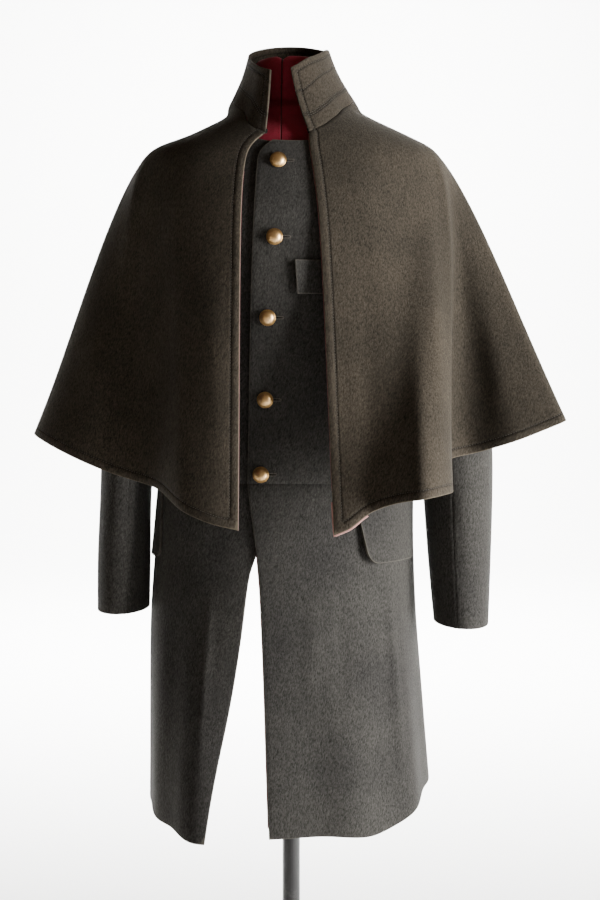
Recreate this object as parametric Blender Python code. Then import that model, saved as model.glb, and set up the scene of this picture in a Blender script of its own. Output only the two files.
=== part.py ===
"""Military overcoat with a shoulder cape and a tall stand collar, on a limbless dress form.

Metres, +Z up. The front faces -Y and the wearer's left side is +X. The origin is on the floor,
in the middle of the stand's foot, and the stand's pole is the Z axis. Angles go round that axis
in degrees, from 0 at the front towards the wearer's left, so +90 is the left side and 180 the
back. Every cloth wall is a grid of points on its outside and the same grid moved in.
"""
import math
from collections import namedtuple

import bmesh
import bpy
import numpy as np
from mathutils import Vector

# Thickness of each cloth
COAT_CLOTH = 0.0022
CAPE_CLOTH = 0.0024
COLLAR_CLOTH = 0.0040
LINING_CLOTH = 0.0008
FLAP_CLOTH = 0.0030

# Clearances: between pieces sewn edge to edge, and between loose layers
SEAM = 0.0003
LAYER = 0.0015

# Main heights above the floor
HEM = 0.4215
WAIST = 0.877
FORM_BOTTOM = 0.785
NECK_FRONT = 1.327
NECK_BACK = 1.389
NECKLINE_DROP = 0.005  # the coat's own neckline, below the cape's neck seam

# How far the cape's neck seam rises above the neckline's curve at the wearer's left front
NeckRise = namedtuple("NeckRise", "angle rise")
NECK_RISE = [
    NeckRise(0, 0.0),
    NeckRise(10, 0.0095),
    NeckRise(20, 0.0134),
    NeckRise(31, 0.0107),
    NeckRise(42, 0.0055),
    NeckRise(60, 0.0),
    NeckRise(360, 0.0),
]

# The coat's outside, a row for each level: how far it reaches to the side, front and back of
# its middle, and how far that middle is moved sideways
Section = namedtuple("Section", "height half_width front back shift")
COAT_SECTIONS = [
    Section(0.4215, 0.2005, 0.172, 0.170, -0.0020),
    Section(0.5940, 0.1913, 0.159, 0.159, -0.0080),
    Section(0.6970, 0.1850, 0.148, 0.149, -0.0105),
    Section(0.7990, 0.1785, 0.137, 0.139, -0.0085),
    Section(0.8770, 0.1742, 0.127, 0.127, -0.0060),
    Section(0.9500, 0.1682, 0.123, 0.117, -0.0030),
    Section(1.0500, 0.1668, 0.130, 0.120, 0.0000),
    Section(1.1490, 0.1700, 0.137, 0.125, 0.0010),
    Section(1.2180, 0.1830, 0.134, 0.127, 0.0000),
    Section(1.2960, 0.2010, 0.112, 0.122, 0.0010),
    Section(1.3080, 0.1975, 0.108, 0.120, 0.0020),
    Section(1.3190, 0.1840, 0.103, 0.118, 0.0040),
    Section(1.3340, 0.1510, 0.096, 0.113, 0.0095),
    Section(1.3470, 0.1240, 0.088, 0.107, 0.0100),
    Section(1.3590, 0.1010, 0.080, 0.101, 0.0090),
    Section(1.3690, 0.0885, 0.074, 0.096, 0.0055),
    Section(1.3790, 0.0855, 0.068, 0.090, 0.0035),
    Section(1.3880, 0.0810, 0.063, 0.084, 0.0030),
    Section(1.4030, 0.0740, 0.058, 0.073, 0.0020),
]
ROUNDNESS = 2.25  # 2 is an ellipse, and more is squarer

# Folds that open towards the skirt's hem: depth out (or in, if negative) at the hem
Fold = namedtuple("Fold", "name angle spread depth top")
SKIRT_FOLDS = [
    Fold("centre trough", 9, 8, -0.0035, 0.80),
    Fold("front ridge", 24, 9, 0.0040, 0.76),
    Fold("pressed crease", 52, 9, 0.0080, 0.84),
    Fold("side trough", 74, 11, -0.0060, 0.80),
    Fold("back left pleat", 141, 10, 0.0110, 0.87),
    Fold("centre back trough", 176, 13, -0.0070, 0.80),
    Fold("back right pleat", 216, 11, 0.0095, 0.87),
    Fold("right side trough", 281, 11, -0.0050, 0.76),
    Fold("right side ridge", 305, 10, 0.0060, 0.82),
    Fold("swung front corner", 329, 14, 0.0300, 0.74),
]

# The skirt's hem isn't level: how far it lies above HEM
HemRise = namedtuple("HemRise", "angle rise")
HEM_RISE = [
    HemRise(-180, 0.012),
    HemRise(-100, 0.004),
    HemRise(-60, 0.001),
    HemRise(-45, 0.001),
    HemRise(-28, -0.006),
    HemRise(10, 0.000),
    HemRise(30, -0.004),
    HemRise(38, 0.000),
    HemRise(49, 0.011),
    HemRise(60, 0.022),
    HemRise(76, 0.028),
    HemRise(110, 0.024),
    HemRise(180, 0.012),
]

# Front edges of the two fronts as distances from the middle: the wearer's left front laps over
# the right one down to where they part, and below that the skirts stand open
FrontEdge = namedtuple("FrontEdge", "height over under")
BODICE_EDGES = [
    FrontEdge(0.877, -0.0562, 0.0180),
    FrontEdge(1.100, -0.0515, 0.0200),
    FrontEdge(1.280, -0.0440, 0.0200),
    FrontEdge(1.302, -0.0415, 0.0180),
    FrontEdge(1.314, -0.0350, 0.0140),
    FrontEdge(1.322, -0.0230, 0.0080),
]
SKIRT_EDGES = [
    FrontEdge(0.4215, -0.0276, -0.1006),
    FrontEdge(0.5210, -0.0308, -0.0874),
    FrontEdge(0.6195, -0.0341, -0.0717),
    FrontEdge(0.7120, -0.0382, -0.0594),
    FrontEdge(0.7765, -0.0424, -0.0500),
    FrontEdge(0.7905, -0.0449, -0.0434),
    FrontEdge(0.8280, -0.0500, -0.0292),
    FrontEdge(0.8770, -0.0562, 0.0010),
]
# The same for the vent at the back, where the left back skirt laps over the right one
VENT_EDGES = [
    FrontEdge(0.4215, -0.0330, -0.1120),
    FrontEdge(0.5910, -0.0410, -0.0860),
    FrontEdge(0.7200, -0.0480, -0.0620),
    FrontEdge(0.7550, -0.0500, -0.0490),
    FrontEdge(0.8000, -0.0510, -0.0300),
    FrontEdge(0.8770, -0.0520, 0.0010),
]
LAP_START, LAP_FULL = -48, -26  # angles between which the underneath front sinks below the other
PART_LOW, PART_HIGH = 0.68, 0.76  # heights between which two lapping skirts come together

# Armhole: an upright oval round the side of the bodice
ARMHOLE_BOTTOM, ARMHOLE_TOP = 1.132, 1.308
ARMHOLE_SPREAD = 27  # degrees to each side

# Sleeves, a row for each ring from the cuff up: its inner and outer point, and its depth
Ring = namedtuple("Ring", "place inner_x inner_z outer_x outer_z middle_y half_depth")
SLEEVE_LEFT = [
    Ring("cuff", 0.1965, 0.6805, 0.2708, 0.6785, -0.040, 0.058),
    Ring("wrist", 0.1900, 0.7580, 0.2750, 0.7560, -0.026, 0.061),
    Ring("forearm", 0.1840, 0.8500, 0.2790, 0.8500, -0.010, 0.064),
    Ring("elbow", 0.1800, 0.9250, 0.2785, 0.9280, 0.000, 0.066),
    Ring("upper arm", 0.1795, 1.0100, 0.2650, 1.0200, 0.008, 0.063),
    Ring("under the arm", 0.1795, 1.0720, 0.2500, 1.1080, 0.010, 0.060),
    Ring("armpit", 0.1800, 1.1020, 0.2340, 1.1900, 0.009, 0.058),
    Ring("sleeve head", 0.1810, 1.1220, 0.2230, 1.2620, 0.006, 0.058),
]
SLEEVE_RIGHT = [
    Ring("cuff", 0.1973, 0.6950, 0.2691, 0.6930, -0.012, 0.058),
    Ring("wrist", 0.1960, 0.7690, 0.2685, 0.7670, -0.008, 0.061),
    Ring("forearm", 0.1950, 0.8490, 0.2650, 0.8490, -0.002, 0.063),
    Ring("elbow", 0.1890, 0.9250, 0.2630, 0.9280, 0.003, 0.065),
    Ring("upper arm", 0.1800, 1.0100, 0.2600, 1.0200, 0.009, 0.066),
    Ring("under the arm", 0.1790, 1.0720, 0.2480, 1.1080, 0.011, 0.063),
    Ring("armpit", 0.1800, 1.1020, 0.2320, 1.1900, 0.010, 0.059),
    Ring("sleeve head", 0.1800, 1.1220, 0.2190, 1.2620, 0.006, 0.058),
]
SLEEVE_STEP = 18  # degrees between two lines along a sleeve, and between rows at the armhole
SLEEVE_ROWS = 15
SLEEVE_SEAM = 108  # degrees from the sleeve's outer line to its two seams

# Cape, a row for each line down the cloth: its angle at the neck seam and over the shoulder,
# and where its lower end hangs. The left half runs from the front edge to the centre back.
Line = namedtuple("Line", "place neck shoulder hem_x hem_y hem_z")
CAPE_LEFT = [
    Line("front edge", 4.2, 8.7, 0.055, -0.196, 0.819),
    Line("front corner", 10, 15, 0.076, -0.198, 0.8285),
    Line("trough start", 20, 25, 0.100, -0.196, 0.847),
    Line("trough end", 31, 37, 0.133, -0.216, 0.862),
    Line("panel crest", 42, 49, 0.163, -0.237, 0.869),
    Line("ridge front", 51, 60, 0.192, -0.212, 0.872),
    Line("sharp ridge", 56, 66, 0.206, -0.180, 0.873),
    Line("ridge back", 60, 69, 0.205, -0.138, 0.882),
    Line("fold floor", 65, 72, 0.211, -0.098, 0.906),
    Line("fold end", 71, 76, 0.243, -0.086, 0.914),
    Line("side plane", 80, 83, 0.300, -0.106, 0.933),
    Line("side corner", 90, 90, 0.364, -0.098, 0.9585),
    Line("side back", 101, 99, 0.362, 0.022, 0.950),
    Line("back trough", 116, 114, 0.278, 0.120, 0.912),
    Line("back ridge", 132, 130, 0.212, 0.212, 0.882),
    Line("inner trough", 150, 148, 0.118, 0.186, 0.872),
    Line("low ridge", 166, 164, 0.062, 0.222, 0.864),
    Line("centre back", 180, 180, 0.000, 0.208, 0.864),
]
CAPE_RIGHT = [
    Line("centre back", 180, 180, 0.000, 0.208, 0.864),
    Line("low trough", 193, 195, -0.060, 0.196, 0.866),
    Line("back ridge", 208, 210, -0.126, 0.228, 0.868),
    Line("inner trough", 222, 224, -0.182, 0.162, 0.880),
    Line("side ridge", 238, 240, -0.268, 0.168, 0.900),
    Line("side trough", 253, 254, -0.306, 0.098, 0.920),
    Line("side corner", 270, 269, -0.3560, -0.006, 0.9365),
    Line("side front", 280, 277, -0.308, -0.078, 0.9170),
    Line("soft ridge", 291, 286, -0.252, -0.100, 0.8945),
    Line("soft ridge end", 302, 297, -0.211, -0.098, 0.8800),
    Line("trough", 313, 306, -0.174, -0.122, 0.8700),
    Line("front fold", 324, 316, -0.139, -0.172, 0.848),
    Line("front panel", 334, 326, -0.100, -0.190, 0.833),
    Line("front edge", 347, 343.6, -0.0650, -0.194, 0.825),
]
CAPE_LIFT_NECK = 0.0032  # the cape's outside above the coat's, at the neck and at the shoulder
CAPE_LIFT_SHOULDER = 0.0062
CAPE_LEAD = 0.190  # how far the cloth carries on outwards before it turns down
CAPE_SPLITS = 2  # columns between two lines
CAPE_HALF_WIDTH = 0.10  # of its neck seam, which gives the gap at its centre back seam
LINING_LINES, LINING_ROWS = 4, 12  # columns and rows of the cape's strip of lining that shows
SKIRT_LINING_RISE = 0.012  # from the hem up to the skirt's lining
SKIRT_LINING_SWEEP = 22  # degrees that it runs back from the skirt's front edge
SKIRT_LINING_OVER = 0.4  # degrees that it stands past that edge
SKIRT_LINING_SAG = 0.0012  # how far its loose edge hangs off the cloth

# Height at which the cape leaves the shoulders
Departure = namedtuple("Departure", "angle height")
CAPE_DEPARTURE = [
    Departure(0, 1.225),
    Departure(20, 1.245),
    Departure(45, 1.285),
    Departure(70, 1.312),
    Departure(90, 1.318),
    Departure(120, 1.314),
    Departure(150, 1.300),
    Departure(180, 1.292),
]

# Collar: the ring at its top edge, which slopes up to the back and stands up at the left front
COLLAR_TOP_HALF_WIDTH, COLLAR_TOP_FRONT, COLLAR_TOP_BACK = 0.0580, 0.087, 0.053
COLLAR_TOP_LEFT_SHARE = 0.91  # of that half width, on the wearer's left
CollarRise = namedtuple("CollarRise", "angle rise")
COLLAR_RISE = [
    CollarRise(0, 0.005),
    CollarRise(30, 0.016),
    CollarRise(60, 0.017),
    CollarRise(95, 0.004),
    CollarRise(140, 0.000),
    CollarRise(360, 0.000),
]
COLLAR_TOP_FRONT_HEIGHT, COLLAR_TOP_SLOPE = 1.413, 0.44
COLLAR_BASE_ENDS = (4.2, 347)
COLLAR_TOP_ENDS = (0, 332.5)
COLLAR_WAIST = 0.10  # how strongly the collar draws in above its seam
COLLAR_OFF_CAPE = 2 * SEAM  # height of its base above the cape's neck seam
COLLAR_COLUMNS, COLLAR_ROWS = 35, 6
COLLAR_CLOSER = 0.5  # how much closer its columns stand at its two ends

# Buttons down the closing line
Button = namedtuple("Button", "x height")
BUTTONS = [
    Button(-0.0156, 1.2950),
    Button(-0.0199, 1.1953),
    Button(-0.0289, 1.0925),
    Button(-0.0326, 0.9866),
    Button(-0.0383, 0.8890),
]
BUTTON_RADIUS = 0.0107
BUTTON_DOME = 0.0060
SHANK_RADIUS, SHANK_LENGTH = 0.0032, 0.0012
BUTTON_SEAT = 0.0004  # the shank's end above the cloth
BUTTON_EDGE = 0.0009  # height of the rim's straight side
BUTTON_SEGMENTS = 14

# Pockets
WELT_LEFT, WELT_RIGHT = 0.0060, 0.1120
WELT_BOTTOM, WELT_TOP = 1.1230, 1.1660
WELT_SLANT, WELT_GAPE = 0.0030, 0.0036
WELT_GAPE_SHARE = 1 / 3  # of the welt's length, over which the gape closes
FLAP_TOP, FLAP_BOTTOM = 0.860, 0.771
FLAP_CORNER = 0.016
FLAP_REACH = 0.15  # distance from the coat's middle out to a flap
FLAP_ON = 0.0008

# Dress form
NECK_RADIUS = 0.0500
NECK_TOP = 1.442
Ease = namedtuple("Ease", "height ease")
FORM_EASE = [
    Ease(0.785, 0.022),
    Ease(0.877, 0.018),
    Ease(1.050, 0.014),
    Ease(1.220, 0.012),
    Ease(1.296, 0.008),
    Ease(1.323, 0.0055),
    Ease(1.340, 0.0008),
    Ease(1.352, 0.0010),
    Ease(1.366, 0.0030),
]
SHOULDER_START = 1.30  # below this the form's rings are level
FORM_HOLLOW, FORM_HOLLOW_ANGLE = 0.0060, -5  # chest behind the two overlapping fronts
HOLLOW_FULL, HOLLOW_NONE = 30, 70  # degrees from its middle
FORM_STEP = 11.25  # degrees between the form's upright lines
FORM_LEVELS = [FORM_BOTTOM, 0.82, 0.88, 0.95, 1.03, 1.11, 1.19, 1.25, 1.295]
FORM_LEVELS += [1.320, 1.336, 1.350, 1.362, 1.370]

# The form's top below its neck, an oval for each level
Cap = namedtuple("Cap", "height half_width front back")
FORM_CAPS = [
    Cap(1.3755, 0.072, 0.0605, 0.077),
    Cap(1.3795, 0.054, 0.0530, 0.058),
]
# The form's neck, a round ring for each level, which leans a little forward
Ringlet = namedtuple("Ringlet", "height radius middle_y")
FORM_NECK = [
    Ringlet(1.3798, NECK_RADIUS + 0.001, 0.003),
    Ringlet(1.4100, NECK_RADIUS, 0.001),
    Ringlet(NECK_TOP - 0.007, NECK_RADIUS - 0.001, -0.002),
    Ringlet(NECK_TOP - 0.002, NECK_RADIUS - 0.003, -0.002),
    Ringlet(NECK_TOP, NECK_RADIUS - 0.008, -0.002),
]
NECK_STEP = 15  # degrees between the neck's upright lines
POLE_RADIUS = 0.0125
FOOT_RADIUS, FOOT_THICKNESS = 0.175, 0.012
HUB_RADIUS, HUB_TOP = 0.030, 0.030


def smooth_through(xs, ys, x):
    """A curve through points with no overshoot: a cubic whose slope is 0 at each turning."""
    xs, ys, x = np.asarray(xs, float), np.asarray(ys, float), np.asarray(x, float)
    steps = np.diff(xs)
    slopes = np.diff(ys) / steps
    tangents = np.empty_like(ys)
    tangents[0], tangents[-1] = slopes[0], slopes[-1]
    same_way = slopes[:-1] * slopes[1:] > 0
    together = np.where(same_way, slopes[:-1] + slopes[1:], 1.0)
    tangents[1:-1] = np.where(same_way, 2 * slopes[:-1] * slopes[1:] / together, 0.0)
    x = np.clip(x, xs[0], xs[-1])
    i = np.clip(np.searchsorted(xs, x, side="right") - 1, 0, len(xs) - 2)
    t = (x - xs[i]) / steps[i]
    start, end = tangents[i] * steps[i], tangents[i + 1] * steps[i]
    return hermite(ys[i], start, ys[i + 1], end, t)


def hermite(a, leaving, b, arriving, t):
    """A cubic from a to b, with its direction at each end."""
    return (
        a * (2 * t**3 - 3 * t**2 + 1)
        + leaving * (t**3 - 2 * t**2 + t)
        + b * (3 * t**2 - 2 * t**3)
        + arriving * (t**3 - t**2)
    )


def read(table, key, value, at):
    """A named column of a table, against another of its columns."""
    keys = [getattr(row, key) for row in table]
    values = [getattr(row, value) for row in table]
    return smooth_through(keys, values, at)


def ease_in_out(t):
    t = np.clip(t, 0, 1)
    return t * t * (3 - 2 * t)


def unit(vectors):
    return vectors / np.linalg.norm(vectors, axis=-1, keepdims=True)


def moved_out(surface, across, up, out, steps):
    """Points of surface(across, up), moved out along its normal."""
    a, u = steps
    sideways = surface(across + a, up) - surface(across - a, up)
    upwards = surface(across, up + u) - surface(across, up - u)
    normal = unit(np.cross(sideways, upwards))
    return surface(across, up) + normal * np.asarray(out)[..., None]


def oval(angle, half_width, front, back, power):
    """Points round an oval whose front and back reach differ: x and y."""
    turn = np.radians(angle)
    side, ahead = np.sin(turn), np.cos(turn)
    reach = np.where(ahead > 0, front, back)
    x = half_width * np.sign(side) * np.abs(side) ** power
    y = -reach * np.sign(ahead) * np.abs(ahead) ** power
    return x, y


def coat_ring(angle, height):
    """The coat's outside without folds."""
    angle, height = np.broadcast_arrays(angle, height)
    width, front, back, shift = (
        read(COAT_SECTIONS, "height", name, height)
        for name in ("half_width", "front", "back", "shift")
    )
    x, y = oval(angle, width, front, back, 2 / ROUNDNESS)
    return np.stack([x + shift, y, height], axis=-1)


def coat_at(angle, height, out=0.0):
    angle, height, out = np.broadcast_arrays(angle, height, out)
    return moved_out(coat_ring, angle, height, out, (0.5, 0.001))


def coat_angle(x, height):
    """The angle at which the front of the coat is a distance x from its middle."""
    width = read(COAT_SECTIONS, "height", "half_width", height)
    share = (x - read(COAT_SECTIONS, "height", "shift", height)) / width
    return np.degrees(np.arcsin(np.sign(share) * np.abs(share) ** (ROUNDNESS / 2)))


def fold_depth(angle, height):
    """How far the skirt's folds stand out."""
    out = np.zeros(np.broadcast(angle, height).shape)
    for fold in SKIRT_FOLDS:
        away = (angle - fold.angle + 180) % 360 - 180
        fall = ease_in_out((fold.top - height) / (fold.top - HEM))
        out = out + fold.depth * fall * np.exp(-((away / fold.spread) ** 2))
    return out


def seam_angle(height):
    """Half of a seam's gap as an angle, on the side of the body."""
    return np.degrees(SEAM / 2 / read(COAT_SECTIONS, "height", "front", height))


def neckline(angle):
    """Height of the neckline's curve: low in front, high at the back."""
    facing = (1 + np.cos(np.radians(angle))) / 2
    return NECK_BACK - (NECK_BACK - NECK_FRONT) * facing**6


def neck_height(angle):
    """Height of the cape's neck seam: on that curve but for its rise at the left front."""
    return neckline(angle) + read(NECK_RISE, "angle", "rise", np.asarray(angle) % 360)


def armhole_angle(height):
    """How far the armhole's edge lies from the side line, in degrees."""
    middle, half = (ARMHOLE_TOP + ARMHOLE_BOTTOM) / 2, (ARMHOLE_TOP - ARMHOLE_BOTTOM) / 2
    away = np.clip(np.abs(height - middle) / half, 0, 1)
    return ARMHOLE_SPREAD * (1 - away**2.4) ** 0.8


def colour(hex_code):
    """A material's linear colour from its sRGB hex code."""
    parts = [int(hex_code[i : i + 2], 16) / 255 for i in (0, 2, 4)]
    return [c / 12.92 if c <= 0.04045 else ((c + 0.055) / 1.055) ** 2.4 for c in parts] + [1]


def material(name, hex_code, roughness, metallic=0.0):
    made = bpy.data.materials.get(name) or bpy.data.materials.new(name)
    made.use_nodes = True
    shader = made.node_tree.nodes["Principled BSDF"]
    shader.inputs["Base Color"].default_value = colour(hex_code)
    shader.inputs["Roughness"].default_value = roughness
    shader.inputs["Metallic"].default_value = metallic
    return made


def wool():
    return material("coat wool", "3a372f", 0.95)


def lining():
    return material("lining satin", "6b3238", 0.55)


def brass():
    return material("brass", "a8834c", 0.35, 1.0)


def form_cloth():
    return material("form jersey", "4a0a14", 0.85)


def stand_paint():
    return material("stand paint", "1c1c1e", 0.45)


def add_object(name, mesh, finish, parent):
    mesh.materials.append(finish)
    mesh.validate()
    made = bpy.data.objects.new(name, mesh)
    made.parent = parent
    bpy.context.scene.collection.objects.link(made)
    return made


def wall(name, outside, inside, finish, parent):
    """A sheet of cloth between two grids: rows go up, columns anticlockwise from above."""
    rows, columns = outside.shape[:2]
    count = rows * columns
    points = np.concatenate([outside.reshape(-1, 3), inside.reshape(-1, 3)])
    at = np.arange(count).reshape(rows, columns)
    faces = []
    for i in range(rows - 1):
        for j in range(columns - 1):
            a, b, c, d = at[i, j], at[i, j + 1], at[i + 1, j + 1], at[i + 1, j]
            faces += [[a, b, c], [a, c, d]]
            faces += [[c + count, b + count, a + count], [d + count, c + count, a + count]]
    rim = [*at[0, :], *at[1:, -1], *at[-1, -2::-1], *at[-2:0:-1, 0]]
    for a, b in zip(rim, rim[1:] + rim[:1]):
        if a < b:
            faces += [[b, a, b + count], [a, a + count, b + count]]
        else:
            faces += [[b, a, a + count], [b, a + count, b + count]]
    mesh = bpy.data.meshes.new(name)
    mesh.from_pydata(points.tolist(), [], [[int(k) for k in face] for face in faces])
    mesh.shade_smooth()
    mesh.set_sharp_from_angle(angle=math.radians(50))
    return add_object(name, mesh, finish, parent)


def loft(name, rings, finish, parent):
    """A solid through closed rings from the bottom up, with flat ends."""
    made = bmesh.new()
    loops = [[made.verts.new(point) for point in ring] for ring in rings]
    for low, high in zip(loops, loops[1:]):
        for i in range(len(low)):
            j = (i + 1) % len(low)
            made.faces.new([low[i], low[j], high[j], high[i]])
    made.faces.new(loops[0][::-1])
    made.faces.new(loops[-1])
    mesh = bpy.data.meshes.new(name)
    made.to_mesh(mesh)
    made.free()
    mesh.shade_smooth()
    mesh.set_sharp_from_angle(angle=math.radians(40))
    return add_object(name, mesh, finish, parent)


def turned(name, profile, segments, finish, parent):
    """A solid of revolution: (radius, height) from its top middle down and in again."""
    mesh = bpy.data.meshes.new(name)
    points = [(radius, 0, height) for radius, height in profile]
    mesh.from_pydata(points, [(i, i + 1) for i in range(len(points) - 1)], [])
    made = add_object(name, mesh, finish, parent)
    screw = made.modifiers.new("turn", "SCREW")
    screw.steps = segments
    screw.render_steps = segments
    screw.use_merge_vertices = True
    screw.merge_threshold = 0.00001
    screw.use_smooth_shade = True
    return made


def grid(columns, rows):
    """Shares across and up a panel."""
    across, up = np.meshgrid(np.linspace(0, 1, columns), np.linspace(0, 1, rows))
    return across, up


def panel(name, angle, height, out, parent, thickness=COAT_CLOTH, finish=None):
    """A piece of the coat's own shape."""
    wall(
        name,
        coat_at(angle, height, out),
        coat_at(angle, height, out - thickness),
        finish or wool(),
        parent,
    )


def bodice_rows():
    """Shares of a bodice piece's height, with a row for each point of the sleeve's top edge."""
    low, top = WAIST + SEAM, float(neckline(90)) - NECKLINE_DROP
    round_armhole = np.radians(np.arange(180, -1, -SLEEVE_STEP))
    middle, half = (ARMHOLE_TOP + ARMHOLE_BOTTOM) / 2, (ARMHOLE_TOP - ARMHOLE_BOTTOM) / 2
    below = np.linspace(low, ARMHOLE_BOTTOM, 5)[:-1]
    above = [1.321, 1.335, 1.348, 1.359, 1.368, 1.376, top]
    heights = np.concatenate([below, middle + half * np.cos(round_armhole), above])
    return (heights - low) / (top - low)


def bodice_panel(name, start, end, columns, parent, out=lambda angle: 0.0):
    """A bodice piece from the waist seam up to the neck, between two edges given by height."""
    across, up = np.meshgrid(np.linspace(0, 1, columns), bodice_rows())
    top_height = NECK_FRONT - NECKLINE_DROP
    top_angle = start(top_height) + (end(top_height) - start(top_height)) * across
    ceiling = neckline(top_angle) - NECKLINE_DROP
    low = WAIST + SEAM
    height = low + (ceiling - low) * up
    angle = start(height) + (end(height) - start(height)) * across
    panel(name, angle, height, out(angle) + 0 * height, parent)


def under_layer(angle):
    """How far the underneath front sinks: full where the other front covers it."""
    covered = ease_in_out((angle - LAP_START) / (LAP_FULL - LAP_START))
    return -(COAT_CLOTH + LAYER) * covered


def build_bodice(parent):
    def over_edge(height):
        return coat_angle(read(BODICE_EDGES, "height", "over", height), height)

    def under_edge(height):
        return coat_angle(read(BODICE_EDGES, "height", "under", height), height)

    def front_side(height):
        return 90 - np.maximum(armhole_angle(height), seam_angle(height))

    def back_side(height):
        return 90 + np.maximum(armhole_angle(height), seam_angle(height))

    def centre_back(height):
        return 180 - seam_angle(height)

    bodice_panel("front_left", over_edge, front_side, 13, parent)
    bodice_panel("front_right", lambda z: -front_side(z), under_edge, 13, parent, under_layer)
    bodice_panel("back_left", back_side, centre_back, 9, parent)
    bodice_panel("back_right", lambda z: -centre_back(z), lambda z: -back_side(z), 9, parent)


def skirt_panel(name, start, end, columns, parent, out=lambda angle, height: 0.0):
    """A skirt piece from the hem to the waist seam, with the folds."""
    across, up = grid(columns, 9)
    at_hem = start(HEM) + (end(HEM) - start(HEM)) * across
    low = HEM + read(HEM_RISE, "angle", "rise", at_hem)
    height = low + (WAIST - low) * up
    angle = start(height) + (end(height) - start(height)) * across
    panel(name, angle, height, fold_depth(angle, height) + out(angle, height), parent)


def skirt_over_edge(height):
    return coat_angle(read(SKIRT_EDGES, "height", "over", height), height)


def skirt_under_edge(height):
    return coat_angle(read(SKIRT_EDGES, "height", "under", height), height)


def vent_over_edge(height):
    return 180 - coat_angle(read(VENT_EDGES, "height", "over", height), height)


def vent_under_edge(height):
    return -180 - coat_angle(read(VENT_EDGES, "height", "under", height), height)


def build_skirts(parent):
    def side(height):
        return 90 - seam_angle(height)

    def sunk(height):
        return ease_in_out((height - PART_LOW) / (PART_HIGH - PART_LOW))

    def under_front(angle, height):
        return under_layer(angle) * sunk(height)

    def under_back(angle, height):
        return under_layer(-180 - angle) * sunk(height)

    skirt_panel("skirt_front_left", skirt_over_edge, side, 17, parent)
    skirt_panel("skirt_front_right", lambda z: -side(z), skirt_under_edge, 15, parent, under_front)
    skirt_panel("skirt_back_left", lambda z: 180 - side(z), vent_over_edge, 15, parent)
    skirt_panel(
        "skirt_back_right", vent_under_edge, lambda z: side(z) - 180, 13, parent, under_back
    )


def build_skirt_lining(parent):
    """The strip of lining that shows along the open edge of the left skirt."""
    across, up = grid(3, 9)
    low = HEM + SKIRT_LINING_RISE
    height = low + (FORM_BOTTOM - low) * up
    angle = skirt_over_edge(height) - SKIRT_LINING_OVER + SKIRT_LINING_SWEEP * across
    inner = fold_depth(angle, height) - COAT_CLOTH - SEAM - SKIRT_LINING_SAG * across
    panel("skirt_lining_left", angle, height, inner, parent, LINING_CLOTH, lining())


def armhole_line(round_it):
    """The sleeve's end on the left side, just inside the armhole, by degrees from its top."""
    middle, half = (ARMHOLE_TOP + ARMHOLE_BOTTOM) / 2, (ARMHOLE_TOP - ARMHOLE_BOTTOM) / 2
    turn = np.radians(round_it)
    away = armhole_angle(middle + half * np.cos(turn)) * (1 - SEAM / half)
    return 90 + np.sign(np.sin(turn)) * away, middle + (half - SEAM) * np.cos(turn)


def thread(rings, up):
    """Smooth lines up through the points of a stack of rings."""
    last = len(rings) - 1
    low = np.clip((up * last).astype(int), 0, last - 1)
    share = (up * last - low)[..., None]

    def ring(number):
        chosen = np.clip(number, 0, last)[None, ..., None]
        return np.take_along_axis(rings, np.broadcast_to(chosen, (1, *rings.shape[1:])), 0)[0]

    a, b = ring(low), ring(low + 1)
    return hermite(a, (b - ring(low - 1)) / 2, b, (ring(low + 2) - a) / 2, share)


def sleeve_surface(table, side):
    """A sleeve as a function of the degrees round it and the share of its length, cuff first."""

    def at(round_it, up):
        turn = np.radians(round_it)
        toward_outer = (1 + np.cos(turn)) / 2
        rings = []
        for ring in table:
            x = ring.inner_x + (ring.outer_x - ring.inner_x) * toward_outer
            z = ring.inner_z + (ring.outer_z - ring.inner_z) * toward_outer
            y = ring.middle_y + side * ring.half_depth * np.sin(turn)
            rings.append(np.stack([side * x, y, z], axis=-1))
        angle, height = armhole_line(side * round_it)
        rings.append(coat_at(side * angle, height, 2 * SEAM))
        return thread(np.stack(rings), up)

    return at


def build_sleeve(hand, rings, side, parent):
    surface = sleeve_surface(rings, side)
    gap = math.degrees(SEAM * 1.4 / rings[0].half_depth)
    halves = {
        "sleeve_top_": (-SLEEVE_SEAM, SLEEVE_SEAM),
        "sleeve_under_": (SLEEVE_SEAM, 360 - SLEEVE_SEAM),
    }
    for prefix, (start, end) in halves.items():
        across, up = grid((end - start) // SLEEVE_STEP + 1, SLEEVE_ROWS)
        degrees = np.clip(start + (end - start) * across, start + gap, end - gap)
        layers = [moved_out(surface, degrees, up, o + 0 * up, (1, 0.004)) for o in (0, -COAT_CLOTH)]
        wall(prefix + hand, *layers, wool(), parent)


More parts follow.
